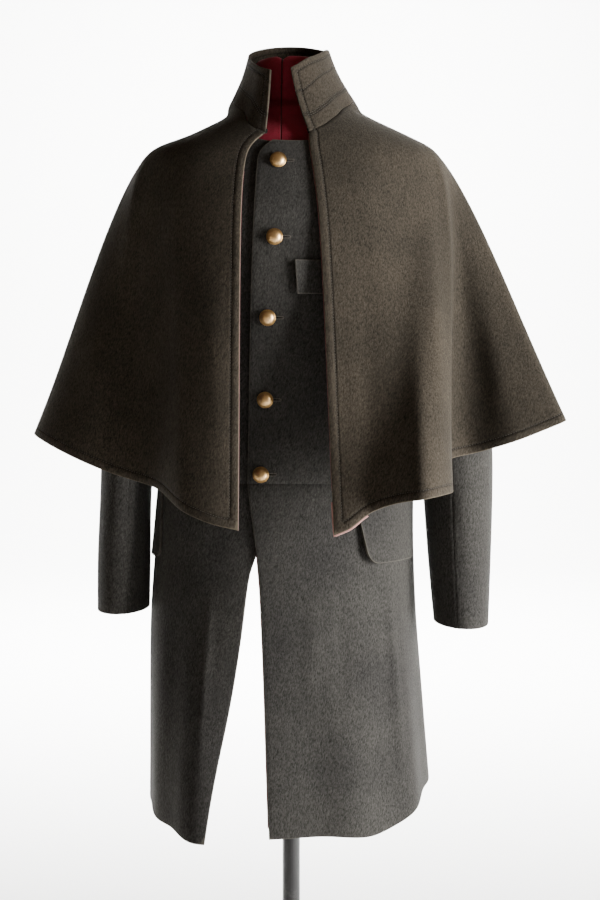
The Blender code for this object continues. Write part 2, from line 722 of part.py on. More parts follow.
def cape_surface(lines):
    """Half of the cape: share across from its first line, and up from its hem to the neck."""
    share = np.linspace(0, 1, len(lines))

    def across_lines(name, across):
        return smooth_through(share, [getattr(line, name) for line in lines], across)

    def on_shoulder(across, up):
        neck, shoulder = across_lines("neck", across), across_lines("shoulder", across)
        away = 180 - np.abs(180 - shoulder)
        low = read(CAPE_DEPARTURE, "angle", "height", away)
        lift = CAPE_LIFT_SHOULDER + (CAPE_LIFT_NECK - CAPE_LIFT_SHOULDER) * up
        return coat_at(shoulder + (neck - shoulder) * up, low + (neck_height(neck) - low) * up, lift)

    def hanging(across, up):
        zero = 0 * across
        top = on_shoulder(across, zero)
        lead = unit(top - on_shoulder(across, zero + 0.04)) * CAPE_LEAD
        end = np.stack([across_lines(n, across) for n in ("hem_x", "hem_y", "hem_z")], axis=-1)
        return hermite(end, top - end, top, -lead, up[..., None])

    def at(across, up):
        across, up = np.broadcast_arrays(np.clip(across, 0, 1), np.clip(up, 0, 2))
        low = hanging(across, np.minimum(up, 1))
        high = on_shoulder(across, np.maximum(up - 1, 0))
        return np.where(up[..., None] < 1, low, high)

    return at


def cape_rows():
    """Rows of the cape: 0 to 1 hangs free, and 1 to 2 lies on the shoulders."""
    return np.concatenate([np.linspace(0, 1, 9), np.linspace(1, 2, 8)[1:]])


def build_cape_half(hand, lines, parent):
    surface = cape_surface(lines)
    across, up = np.meshgrid(np.linspace(0, 1, CAPE_SPLITS * (len(lines) - 1) + 1), cape_rows())
    share = SEAM / 2 / CAPE_HALF_WIDTH
    steps = (share, 0.01)
    centre_back = 1 if lines[-1].place == "centre back" else 0
    across = np.where(across == centre_back, abs(centre_back - share / 8), across)
    layers = [moved_out(surface, across, up, o + 0 * up, steps) for o in (0, -CAPE_CLOTH)]
    wall("cape_" + hand, *layers, wool(), parent)
    strip = slice(0, LINING_LINES) if centre_back else slice(-LINING_LINES, None)
    across, up = across[:LINING_ROWS, strip], up[:LINING_ROWS, strip]
    outer = -CAPE_CLOTH - SEAM
    layers = [
        moved_out(surface, across, up, o + 0 * up, steps) for o in (outer, outer - LINING_CLOTH)
    ]
    wall("cape_lining_" + hand, *layers, lining(), parent)


def collar_surface(across, up):
    """The collar from its seam (up 0) to its top edge (up 1), from the left front round."""
    across, up = np.broadcast_arrays(across, up)
    base_angle = COLLAR_BASE_ENDS[0] + (COLLAR_BASE_ENDS[1] - COLLAR_BASE_ENDS[0]) * across
    top_angle = COLLAR_TOP_ENDS[0] + (COLLAR_TOP_ENDS[1] - COLLAR_TOP_ENDS[0]) * across
    base = coat_at(base_angle, neck_height(base_angle) + COLLAR_OFF_CAPE, CAPE_LIFT_NECK)
    x, y = oval(top_angle, COLLAR_TOP_HALF_WIDTH, COLLAR_TOP_FRONT, COLLAR_TOP_BACK, 1.0)
    x = np.where(x > 0, x * COLLAR_TOP_LEFT_SHARE, x)
    z = COLLAR_TOP_FRONT_HEIGHT + COLLAR_TOP_SLOPE * (y + COLLAR_TOP_FRONT)
    top = np.stack([x, y, z + read(COLLAR_RISE, "angle", "rise", top_angle)], axis=-1)
    drawn = up + COLLAR_WAIST * np.sin(np.pi * np.clip(up, 0, 1))
    blend = np.stack([drawn, drawn, up], axis=-1)
    return base + (top - base) * blend


def build_collar(parent):
    even, up = grid(COLLAR_COLUMNS, COLLAR_ROWS)
    across = even - COLLAR_CLOSER * np.sin(2 * np.pi * even) / (2 * np.pi)
    layers = [
        moved_out(collar_surface, across, up, o + 0 * up, (0.002, 0.02)) for o in (0, -COLLAR_CLOTH)
    ]
    wall("collar", *layers, wool(), parent)


def build_welt(parent):
    """Breast pocket welt on the left front; its inner end gapes away from the cloth."""
    across, up = grid(8, 3)
    height = WELT_BOTTOM + (WELT_TOP - WELT_BOTTOM) * up
    left = WELT_LEFT + WELT_SLANT * (1 - up)
    x = left + (WELT_RIGHT - left) * across**1.4
    gape = WELT_GAPE * (1 - ease_in_out(across / WELT_GAPE_SHARE))
    out = FLAP_ON + COAT_CLOTH + gape
    panel("breast_welt", coat_angle(x, height), height, out, parent)


def build_flap(hand, start, end, slant, stand_off, parent):
    """Hip pocket flap: rounded lower corners, hinged at the top and standing off below."""
    share = np.concatenate([[0, 0.02, 0.06], np.linspace(0.12, 0.88, 7), [0.94, 0.98, 1]])
    across, up = np.meshgrid(share, np.linspace(0, 1, 4))
    width = math.radians(abs(end - start)) * FLAP_REACH
    from_end = np.minimum(np.minimum(across, 1 - across) * width, FLAP_CORNER)
    rise = FLAP_CORNER - np.sqrt(FLAP_CORNER**2 - (FLAP_CORNER - from_end) ** 2)
    bottom = FLAP_BOTTOM + rise
    height = bottom + (FLAP_TOP - bottom) * up
    lean = slant * (FLAP_TOP - height) / (FLAP_TOP - FLAP_BOTTOM)
    angle = start + lean * (1 - across) + (end - lean * across - start) * across
    stand = stand_off * (1 - up) ** 1.5 * (1 - 0.75 * across)
    out = fold_depth(angle, height) + FLAP_ON + FLAP_CLOTH + stand
    panel("flap_" + hand, angle, height, out, parent, FLAP_CLOTH)


def build_buttons(parent):
    rim = BUTTON_RADIUS
    dome = [
        (rim * 0.96 * math.sin(t), SHANK_LENGTH + BUTTON_EDGE + BUTTON_DOME * math.cos(t))
        for t in np.radians(np.linspace(0, 90, 5))
    ]
    edge = [(rim, SHANK_LENGTH + BUTTON_EDGE * 0.7), (rim, SHANK_LENGTH)]
    shank = [(SHANK_RADIUS, SHANK_LENGTH), (SHANK_RADIUS, 0), (0, 0)]
    for number, button in enumerate(BUTTONS, 1):
        angle = coat_angle(button.x, button.height)
        seat = coat_at(angle, button.height, BUTTON_SEAT)
        normal = Vector(coat_at(angle, button.height, 1.0) - coat_at(angle, button.height, 0.0))
        made = turned(f"button_{number}", dome + edge + shank, BUTTON_SEGMENTS, brass(), parent)
        made.location = seat
        made.rotation_mode = "QUATERNION"
        made.rotation_quaternion = normal.to_track_quat("Z", "Y")


def build_form_torso(parent):
    angle = np.arange(0, 360, FORM_STEP)
    rings = []
    facing = (angle - FORM_HOLLOW_ANGLE + 180) % 360 - 180
    near_middle = (HOLLOW_NONE - np.abs(facing)) / (HOLLOW_NONE - HOLLOW_FULL)
    hollow = FORM_HOLLOW * ease_in_out(near_middle)
    for height in FORM_LEVELS:
        ease = read(FORM_EASE, "height", "ease", height) + hollow
        ring = coat_at(angle, height, -COAT_CLOTH - ease)
        if height < SHOULDER_START:
            ring[:, 2] = height
        rings.append(ring)
    for cap in FORM_CAPS:
        x, y = oval(angle, cap.half_width, cap.front, cap.back, 1.0)
        rings.append(np.stack([x, y, 0 * x + cap.height], axis=-1))
    loft("form_torso", rings, form_cloth(), parent)


def build_form_neck(parent):
    """Neck of the form, with a soft top edge."""
    angle = np.arange(0, 360, NECK_STEP)
    rings = []
    for level in FORM_NECK:
        x, y = oval(angle, level.radius, level.radius, level.radius, 1.0)
        rings.append(np.stack([x, y + level.middle_y, 0 * x + level.height], axis=-1))
    loft("form_neck", rings, form_cloth(), parent)


def build_stand(parent):
    """Plain round pole, and a turned foot with a short hub."""
    top, bottom = FORM_BOTTOM - SEAM, HUB_TOP + SEAM
    pole = [(0, top), (POLE_RADIUS, top), (POLE_RADIUS, bottom), (0, bottom)]
    turned("stand_pole", pole, 24, stand_paint(), parent)
    foot = [
        (0, HUB_TOP),
        (HUB_RADIUS - 0.002, HUB_TOP),
        (HUB_RADIUS, HUB_TOP - 0.002),
        (HUB_RADIUS, FOOT_THICKNESS + 0.006),
        (HUB_RADIUS + 0.004, FOOT_THICKNESS + 0.001),
        (FOOT_RADIUS - 0.006, FOOT_THICKNESS),
        (FOOT_RADIUS - 0.001, FOOT_THICKNESS - 0.003),
        (FOOT_RADIUS, FOOT_THICKNESS - 0.007),
        (FOOT_RADIUS, 0.001),
        (FOOT_RADIUS - 0.001, 0),
        (0, 0),
    ]
    turned("stand_foot", foot, 32, stand_paint(), parent)


def main():
    for old in list(bpy.data.objects):
        bpy.data.objects.remove(old)
    coat = bpy.data.objects.new("coat_on_form", None)
    bpy.context.scene.collection.objects.link(coat)
    build_form_torso(coat)
    build_form_neck(coat)
    build_stand(coat)
    build_bodice(coat)
    build_skirts(coat)
    build_skirt_lining(coat)
    build_sleeve("left", SLEEVE_LEFT, 1, coat)
    build_sleeve("right", SLEEVE_RIGHT, -1, coat)
    build_cape_half("left", CAPE_LEFT, coat)
    build_cape_half("right", CAPE_RIGHT, coat)
    build_collar(coat)
    build_welt(coat)
    build_flap("left", 28.5, 76, 6, 0.0065, coat)
    build_flap("right", -122, -70, -7, 0.0025, coat)
    build_buttons(coat)


main()
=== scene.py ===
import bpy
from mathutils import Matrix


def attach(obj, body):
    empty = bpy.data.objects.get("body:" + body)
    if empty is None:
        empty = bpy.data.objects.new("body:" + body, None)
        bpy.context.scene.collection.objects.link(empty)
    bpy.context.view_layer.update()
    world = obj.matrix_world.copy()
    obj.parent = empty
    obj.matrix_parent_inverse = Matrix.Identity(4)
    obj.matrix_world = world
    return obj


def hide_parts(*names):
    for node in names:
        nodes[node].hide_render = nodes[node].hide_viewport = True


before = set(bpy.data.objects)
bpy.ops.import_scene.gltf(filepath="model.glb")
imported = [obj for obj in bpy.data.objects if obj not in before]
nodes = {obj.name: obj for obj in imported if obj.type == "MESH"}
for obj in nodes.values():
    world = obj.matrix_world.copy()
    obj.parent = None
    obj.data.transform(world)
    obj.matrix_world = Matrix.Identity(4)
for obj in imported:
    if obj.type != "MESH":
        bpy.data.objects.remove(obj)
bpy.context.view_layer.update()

# %% [markdown]
# ## Camera
#
# A garment on a form is usually photographed from chest height, a little downwards. The lens could
# be guessed by eye, but the cuffs, the curve of the hem and the collar's rims fix it: 54 mm on a
# 36 mm frame, 1.9 m away. The long side of a portrait picture is the sensor's 36 mm.
# %% Camera
import math

import bmesh
import bpy
import numpy as np

from collections import namedtuple
from mathutils import Vector
from mathutils.bvhtree import BVHTree
from mathutils.kdtree import KDTree

CAMERA_PLACE = (0.0125, -1.875, 1.051)
CAMERA_DOWN = 4.236  # degrees


def link(made):
    """Puts an object into the scene."""
    bpy.context.scene.collection.objects.link(made)
    return made


camera = link(bpy.data.objects.new("camera", bpy.data.cameras.new("camera")))
camera.data.lens = 54
camera.data.sensor_width = 36
camera.location = CAMERA_PLACE
camera.rotation_euler = (math.radians(90 - CAMERA_DOWN), 0, 0)
bpy.context.scene.camera = camera
print("camera at", CAMERA_PLACE)

# %% [markdown]
# ## Node helpers
#
# Every finish here is a small network of nodes. Four helpers keep them readable: one turns an sRGB
# hex colour, as a paint or cloth chart gives it, into the linear colour that Blender's shaders
# use, one fills a node's inputs, one adds a node with its settings and what goes into it, and one
# starts a material. The settings that come back often have names too. A mix node has its share at
# socket 0, its two colours at 6 and 7, and its colour output at 2.
# %% Node helpers
COLOUR_OVER = {"data_type": "RGBA"}
COLOUR_TIMES = {"data_type": "RGBA", "blend_type": "MULTIPLY"}
TIMES = {"operation": "MULTIPLY"}
TIMES_PLUS = {"operation": "MULTIPLY_ADD"}


def linear(hex_code):
    """A linear colour from its sRGB hex code."""
    parts = [int(hex_code[i : i + 2], 16) / 255 for i in (0, 2, 4)]
    curve = [c / 12.92 if c <= 0.04045 else ((c + 0.055) / 1.055) ** 2.4 for c in parts]
    return (*curve, 1.0)


def feed(tree, node, inputs):
    """Fills a node's inputs with values, outputs, or nodes for their first output."""
    for key, value in inputs.items():
        if isinstance(value, bpy.types.Node):
            value = value.outputs[0]
        if isinstance(value, bpy.types.NodeSocket):
            tree.links.new(value, node.inputs[key])
        else:
            node.inputs[key].default_value = value


def add(tree, kind, settings, inputs):
    """A node with its settings and its inputs."""
    made = tree.nodes.new(kind)
    for name, value in settings.items():
        setattr(made, name, value)
    feed(tree, made, inputs)
    return made


def new_material(name):
    """A material, its nodes, its shader, and each point's place on its object."""
    made = bpy.data.materials.new(name)
    made.use_nodes = True
    tree = made.node_tree
    place = add(tree, "ShaderNodeTexCoord", {}, {}).outputs["Object"]
    return made, tree, tree.nodes["Principled BSDF"], place


print("black melton is", [round(c, 4) for c in linear("2b2822")[:3]])

# %% [markdown]
# ## Floor, backdrop and light
#
# A studio picture of dark cloth wants a white sweep, so the outline reads, and one large soft lamp,
# so each fold has a lit flank and a dark one. This coat was lit as by a tall window far round to
# the viewer's right and a little below its shoulders. A second lamp hangs high behind the form and
# faces away from it, so it makes the sweep white without touching the cloth. The air of the studio
# fills the shadows only a little, and warmly, as they are close to a brown black on the real coat.
# The sweep is far enough behind that the coat can be looked at from all round.
# %% Floor, backdrop and light
SWEEP_WIDTH, SWEEP_FRONT, SWEEP_BACK, SWEEP_HEIGHT = 16.0, -7.0, 6.5, 6.0
SWEEP_BEND = 2.0


def sweep_profile():
    """The sweep from its front edge, along the floor and up behind: distance back and height."""
    bend = np.radians(np.linspace(0, 90, 17))
    across = SWEEP_BACK - SWEEP_BEND + SWEEP_BEND * np.sin(bend)
    up = SWEEP_BEND * (1 - np.cos(bend))
    return [(SWEEP_FRONT, 0.0), *zip(across, up), (SWEEP_BACK, SWEEP_HEIGHT)]


def plain_mesh(name, points, faces):
    """A smooth mesh object from points and faces, put into the scene."""
    mesh = bpy.data.meshes.new(name)
    mesh.from_pydata(np.asarray(points, float).tolist(), [], [[int(k) for k in f] for f in faces])
    mesh.shade_smooth()
    return link(bpy.data.objects.new(name, mesh))


profile = sweep_profile()
sweep_points = [(side * SWEEP_WIDTH / 2, y, z) for y, z in profile for side in (-1, 1)]
sweep_faces = [(2 * i, 2 * i + 1, 2 * i + 3, 2 * i + 2) for i in range(len(profile) - 1)]
sweep = plain_mesh("studio_sweep", sweep_points, sweep_faces)
paper, tree, shader, _ = new_material("matte white sweep")
grain = add(tree, "ShaderNodeTexNoise", {}, {"Scale": 3.0, "Detail": 2.0})
tones = {0: grain, 6: linear("f8f8f7"), 7: linear("f4f4f3")}
tone = add(tree, "ShaderNodeMix", COLOUR_OVER, tones).outputs[2]
feed(tree, shader, {"Base Color": tone, "Roughness": 0.9})
sweep.data.materials.append(paper)


def soft_lamp(name, place, aim, size, power, tint):
    """An upright soft box that faces a point."""
    data = bpy.data.lights.new(name, "AREA")
    data.shape = "RECTANGLE"
    data.size, data.size_y = size
    data.energy = power
    data.color = linear(tint)[:3]
    lamp = link(bpy.data.objects.new(name, data))
    lamp.location = place
    lamp.rotation_mode = "QUATERNION"
    lamp.rotation_quaternion = (Vector(aim) - Vector(place)).to_track_quat("-Z", "Y")


soft_lamp("window_lamp", (2.40, -1.07, 0.93), (0.0, 0.0, 0.90), (0.95, 1.6), 268, "fffefb")
soft_lamp("sweep_lamp", (0.0, 1.60, 3.40), (0.0, 6.50, 1.10), (3.6, 1.0), 2900, "ffffff")
air = bpy.data.worlds.new("studio air")
air.use_nodes = True
air_light = {"Color": linear("f4d6b4"), "Strength": 0.15}
feed(air.node_tree, air.node_tree.nodes["Background"], air_light)
bpy.context.scene.world = air

# %% [markdown]
# ## Fulled wool melton
#
# Melton is a woollen cloth that is felted after weaving, until no thread shows, and then sheared.
# The eye sees a deep matte colour with a short brushed nap: pale hair ends on a dark ground, in
# streaks that run down the cloth and lean a little. It glows at grazing angles, is mottled where
# it has faded, is rubbed lighter along its edges and holds a soft groove at each row of stitches,
# whose shade is painted into the colour as a darker line.
# A weave pattern would be wrong, so the nap is noise that is stretched along the hairs. The real
# hair ends are 0.2 mm across, too fine to show, so they are drawn 1.7 mm across. Each sheet
# carries three distances that guide the rest: from a finished edge, from a seam and from a row of
# stitches.
# %% Fulled wool melton
NAP_WIDTH, NAP_STRETCH = 0.0017, 2.4  # drawn hair ends, and how much longer than wide they are
NAP_LEAN = math.radians(14)
TUFT_WIDTH = 0.0060
PATCH_WIDTH = 0.13  # of the patches where it has faded
WORN_WIDTH = 0.0010  # how far an edge is rubbed
SEAM_WIDTH = 0.0022  # how far a seam's dip reaches
# ROW_WIDTH is also how far the painted shade along a row of stitches reaches.
ROW_WIDTH = 0.0015  # how far a row of stitches pulls the cloth in
EDGE_ROW = 0.0112  # from a finished edge to its row of stitches
DISTANCES = ("from_edge", "from_seam", "past_row")  # what each sheet knows about its points
FAR = 0.06  # distances from here on don't matter


def bell(tree, value, centre, width):
    """1 where a value is at the centre of a band, falling away on both sides."""
    away = add(tree, "ShaderNodeMath", {"operation": "SUBTRACT"}, {0: value, 1: centre})
    share = add(tree, "ShaderNodeMath", {"operation": "DIVIDE"}, {0: away, 1: width})
    squared = add(tree, "ShaderNodeMath", TIMES, {0: share, 1: share})
    turned = add(tree, "ShaderNodeMath", TIMES, {0: squared, 1: -1.0})
    return add(tree, "ShaderNodeMath", {"operation": "EXPONENT"}, {0: turned})


def relief(tree, layers):
    """The height of a surface as the sum of layers, each a node and its height in metres."""
    total = 0.0
    for layer, height in layers:
        total = add(tree, "ShaderNodeMath", TIMES_PLUS, {0: layer, 1: height, 2: total})
    return add(tree, "ShaderNodeBump", {}, {"Strength": 1.0, "Distance": 1.0, "Height": total})


def melton(name, deep, faded, rubbed, rows=()):
    """Fulled wool: deep colour, faded and rubbed ones, and rows of stitches above its seam."""
    made, tree, shader, place = new_material(name)
    edge, seam, row = (
        add(tree, "ShaderNodeAttribute", {"attribute_name": distance}, {}).outputs["Fac"]
        for distance in DISTANCES
    )
    along = {"Vector": place, "Rotation": (0.0, NAP_LEAN, 0.0), "Scale": (1.0, 1.0, NAP_STRETCH)}
    brushed = add(tree, "ShaderNodeMapping", {"vector_type": "TEXTURE"}, along)
    hair = {"Vector": brushed, "Scale": 1 / NAP_WIDTH, "Detail": 3.0, "Roughness": 0.68}
    hairs = add(tree, "ShaderNodeTexNoise", {}, hair)
    tuft = {"Vector": brushed, "Scale": 1 / TUFT_WIDTH, "Detail": 3.0, "Roughness": 0.6}
    tufts = add(tree, "ShaderNodeTexNoise", {}, tuft)
    patch = {"Vector": place, "Scale": 1 / PATCH_WIDTH, "Detail": 4.0, "Roughness": 0.55}
    patches = add(tree, "ShaderNodeTexNoise", {}, patch)
    soft = {"interpolation_type": "SMOOTHSTEP"}
    fading = add(tree, "ShaderNodeMapRange", soft, {0: patches, 1: 0.36, 2: 0.66})
    flecks = add(tree, "ShaderNodeMapRange", {}, {0: hairs, 1: 0.30, 2: 0.72, 3: 0.34, 4: 2.00})
    thin = add(tree, "ShaderNodeMapRange", {}, {0: tufts, 1: 0.46, 2: 0.72, 3: 0.0, 4: 0.30})
    wear = add(tree, "ShaderNodeMath", TIMES, {0: bell(tree, edge, 0.0, WORN_WIDTH), 1: tufts})
    pulls = [bell(tree, row, 0.0, ROW_WIDTH)]
    pulls += [bell(tree, seam, height, ROW_WIDTH) for height in rows]
    # Painted shade: along each row of stitches, and each collar row, the colour is darkened by up to half,
    # for the shade in its groove.
    painted_row_shade = 1.0
    for pull in pulls:
        painted_row_shade = add(tree, "ShaderNodeMath", TIMES_PLUS, {0: pull, 1: -0.5, 2: painted_row_shade})
    cloth = linear(deep)
    for mix, share, other in (
        (COLOUR_OVER, fading, linear(faded)),
        (COLOUR_TIMES, 1.0, flecks),
        (COLOUR_OVER, thin, linear(faded)),
        (COLOUR_OVER, wear, linear(rubbed)),
        (COLOUR_TIMES, 1.0, painted_row_shade),
    ):
        cloth = add(tree, "ShaderNodeMix", mix, {0: share, 6: cloth, 7: other}).outputs[2]
    layers = [(hairs, 0.00055), (tufts, 0.00060), (bell(tree, seam, 0.0, SEAM_WIDTH), -0.0004)]
    layers += [(bell(tree, row, -EDGE_ROW / 2, EDGE_ROW / 2.6), 0.0007)]
    layers += [(pull, -0.0008) for pull in pulls]
    rough = add(tree, "ShaderNodeMapRange", {}, {0: hairs, 3: 0.99, 4: 0.88})
    feed(tree, shader, {"Base Color": cloth, "Normal": relief(tree, layers), "Roughness": rough})
    feed(tree, shader, {"IOR": 1.45, "Specular IOR Level": 0.15})
    sheen = {"Sheen Weight": 0.16, "Sheen Roughness": 0.5, "Sheen Tint": linear("aba8a2")}
    feed(tree, shader, sheen)
    return made


COLLAR_ROWS = (0.0185, 0.0215, 0.052)  # heights of the collar's rows above its seam
coat_melton = melton("fulled wool melton", "272625", "302f2d", "5a564f")
cape_melton = melton("fulled wool melton, browner", "29251f", "322d26", "62594c")
collar_melton = melton("fulled wool melton, stitched", "2a2620", "352f28", "433c33", COLLAR_ROWS)
print("made", coat_melton.name, "in three shades")

# %% [markdown]
# ## Satin lining
#
# The lining is a smooth satin weave of fine threads. It shows only as thin strips inside the
# cape's front edges and along the skirt's open edge, dark red where it is shaded and dusty pink
# where it is rubbed. Long floats of thread give it a low, soft gloss. The threads are 0.3 mm
# apart, and are drawn at 0.9 mm so that they show.
# %% Satin lining
THREAD_STEP = 0.0009
RUBBED_WIDTH = 0.0022
FADE_WIDTH = 0.030


def satin(name, shaded, pale, rubbed):
    """Satin lining: its colour in the shade, where it has faded and where its edge is rubbed."""
    made, tree, shader, place = new_material(name)
    edge = add(tree, "ShaderNodeAttribute", {"attribute_name": "from_edge"}, {}).outputs["Fac"]
    weave = {"Vector": place, "Scale": 1 / THREAD_STEP / 6.3, "Distortion": 1.2, "Detail": 1.0}
    bands = {"wave_type": "BANDS", "bands_direction": "DIAGONAL"}
    threads = add(tree, "ShaderNodeTexWave", bands, weave).outputs["Fac"]
    fading = {"Vector": place, "Scale": 1 / FADE_WIDTH, "Detail": 3.0}
    fade = add(tree, "ShaderNodeTexNoise", {}, fading)
    colours = {0: fade, 6: linear(shaded), 7: linear(pale)}
    cloth = add(tree, "ShaderNodeMix", COLOUR_OVER, colours).outputs[2]
    worn = {0: bell(tree, edge, 0.0, RUBBED_WIDTH), 6: cloth, 7: linear(rubbed)}
    cloth = add(tree, "ShaderNodeMix", COLOUR_OVER, worn).outputs[2]
    bump = relief(tree, [(threads, 0.00006), (fade, 0.0004)])
    gloss = add(tree, "ShaderNodeMapRange", {}, {0: fade, 3: 0.36, 4: 0.58})
    feed(tree, shader, {"Base Color": cloth, "Normal": bump, "Roughness": gloss})
    feed(tree, shader, {"IOR": 1.5, "Sheen Weight": 0.2})
    return made


lining_satin = satin("satin lining", "52222a", "743c40", "a87a72")
print("made", lining_satin.name)

# %% [markdown]
# ## From a solid to a sheet
#
# A cut piece of cloth is a sheet with one outer and one inner side. Its solid has both, and a
# narrow rim. A sheet could be drawn anew, but then it might not sit where its solid does, so the
# solid's outer side is taken instead: first its loose triangles are welded, then the rim is found
# as the faces with no opposite wall close behind them, and the larger of the two remaining sides
# is the outer one, because the cloth curves round the body.
# %% From a solid to a sheet
SIDE_BEND = 0.35  # cosine of the sharpest bend within one side of a cloth
WALL_REACH = 2.0  # thicknesses within which the opposite side is looked for


def coordinates(mesh):
    """A mesh's points as an array."""
    flat = np.empty(len(mesh.vertices) * 3)
    mesh.vertices.foreach_get("co", flat)
    return flat.reshape(-1, 3)


def corner_points(mesh):
    """The number of the point at each corner of a mesh's faces."""
    numbers = np.empty(len(mesh.loops), dtype=np.int32)
    mesh.loops.foreach_get("vertex_index", numbers)
    return numbers


def welded(name):
    """A solid's points and triangles, joined where loose corners meet."""
    mesh = nodes[name].data
    points, place = np.unique(coordinates(mesh), axis=0, return_inverse=True)
    return points, place.reshape(-1)[corner_points(mesh)].reshape(-1, 3)


def search_tree(points, faces):
    """Finds what is nearest on a surface, or what a ray hits."""
    return BVHTree.FromPolygons(points.tolist(), faces.tolist())


def by_side(faces):
    """The faces at each side, a side being a pair of points."""
    found = {}
    for number, face in enumerate(faces):
        for a, b in zip(face, np.roll(face, -1)):
            found.setdefault(frozenset((int(a), int(b))), []).append(number)
    return found


def connected(count, pairs):
    """Groups of faces that are joined by pairs."""
    neighbours = [[] for _ in range(count)]
    for a, b in pairs:
        neighbours[a].append(b)
        neighbours[b].append(a)
    group = np.full(count, -1)
    for start in range(count):
        if group[start] >= 0:
            continue
        group[start] = start
        waiting = [start]
        while waiting:
            for other in neighbours[waiting.pop()]:
                if group[other] < 0:
                    group[other] = start
                    waiting.append(other)
    return group


def outer_side(name, thickness):
    """The points and triangles of a cloth solid's outer side."""
    points, faces = welded(name)
    a, b, c = (points[faces[:, k]] for k in range(3))
    crossed = np.cross(b - a, c - a)
    size = np.linalg.norm(crossed, axis=1)
    normal = crossed / size[:, None]
    solid = search_tree(points, faces)
    thin = []
    for middle, out in zip((a + b + c) / 3, normal):
        hit = solid.ray_cast(Vector(middle - out * 1e-5), Vector(-out), WALL_REACH * thickness)
        thin.append(hit[0] is not None)
    pairs = []
    for shared in by_side(faces).values():
        one, other = shared
        if thin[one] and thin[other] and normal[one] @ normal[other] > SIDE_BEND:
            pairs.append((one, other))
    group = connected(len(faces), pairs)
    area = np.bincount(group, weights=size, minlength=len(faces))
    chosen = faces[group == np.argmax(area)]
    used, numbers = np.unique(chosen, return_inverse=True)
    return points[used], numbers.reshape(-1, 3)


points, triangles = outer_side("cape_left", 0.0024)
print("the outer side of cape_left has", len(triangles), "triangles")

# %% [markdown]
# ## Triangles back to quads
#
# A subdivision surface is smooth only over quads. The solids are grids whose quads were cut into
# triangles, so the cuts only have to be found again. A triangle in the corner of the grid has two
# free sides, so its third one is a cut. From there each neighbour's cut follows: it is shared, or
# it runs the same way.
# %% Triangles back to quads
def to_quads(triangles):
    """Pairs the triangles of a grid whose diagonals all run the same way."""
    sides = by_side(triangles)
    free = {side for side, faces in sides.items() if len(faces) == 1}
    corners = [frozenset(int(k) for k in face) for face in triangles]
    cut_off = next(k for k, corner in enumerate(corners) if len(free & sides_of(corner)) == 2)
    diagonal = {cut_off: next(iter(sides_of(corners[cut_off]) - free))}
    waiting = [cut_off]
    while waiting:
        face = waiting.pop()
        tip = next(iter(corners[face] - diagonal[face]))
        for side in sides_of(corners[face]):
            for other in sides[side]:
                if other in diagonal:
                    continue
                across = side if side == diagonal[face] else corners[other] - side | {tip}
                diagonal[other] = frozenset(across)
                waiting.append(other)
    return joined(triangles, sides, diagonal)


def sides_of(corner):
    """The three sides of a triangle."""
    a, b, c = corner
    return {frozenset((a, b)), frozenset((b, c)), frozenset((c, a))}


def joined(triangles, sides, diagonal):
    """Quads from pairs of triangles with the same diagonal, and what is left over."""
    made, done = [], set()
    for number, face in enumerate(triangles):
        if number in done:
            continue
        done.add(number)
        partner = [k for k in sides[diagonal[number]] if k != number]
        face = [int(k) for k in face]
        if not partner or partner[0] in done:
            made.append(face)
            continue
        done.add(partner[0])
        tip = next(k for k in face if k not in diagonal[number])
        turn = face.index(tip)
        a, b, c = face[turn - 1], tip, face[(turn + 1) % 3]
        far = next(int(k) for k in triangles[partner[0]] if k not in diagonal[number])
        made.append([a, b, c, far])
    return made


quads = to_quads(triangles)
print(len(triangles), "triangles give", sum(len(q) == 4 for q in quads), "quads")

# %% [markdown]
# ## Smooth sheets
#
# A subdivision surface turns the coarse grid into flowing cloth, but it cuts every corner, and the
# sheet would shrink away from its solid. The cure is to move the coarse points out by as much as
# the smooth surface misses them, a few times over, so that it runs through them in the end. Only
# the part of each miss that changes the shape counts, which is straight out of the cloth, or at a
# rim across it: moved along the cloth, two rows that lie close together could fold over. The
# result is a plain mesh, because the folds and the thickness come after it.
# %% Smooth sheets
Sheet = namedtuple("Sheet", "points quads rim")
CORNER_BEND = 0.7  # cosine of the bend from which a rim has a corner
ROUNDS = 4  # of moving the coarse points out


def evaluated_mesh(piece):
    """A new mesh of an object with its modifiers done."""
    bpy.context.view_layer.update()
    depsgraph = bpy.context.evaluated_depsgraph_get()
    return bpy.data.meshes.new_from_object(piece.evaluated_get(depsgraph), depsgraph=depsgraph)


def rim_ways(points, faces):
    """Which points lie on a rim, the way that it runs there, and which of them are corners."""
    beside = {}
    for side, shared in by_side(faces).items():
        if len(shared) == 1:
            a, b = side
            beside.setdefault(a, []).append(b)
            beside.setdefault(b, []).append(a)
    way, corners = np.zeros_like(points), []
    for point, (a, b) in beside.items():
        before, after = points[point] - points[a], points[b] - points[point]
        way[point] = (before + after) / np.linalg.norm(before + after)
        if before @ after < CORNER_BEND * np.linalg.norm(before) * np.linalg.norm(after):
            corners.append(point)
    return list(beside), way, corners


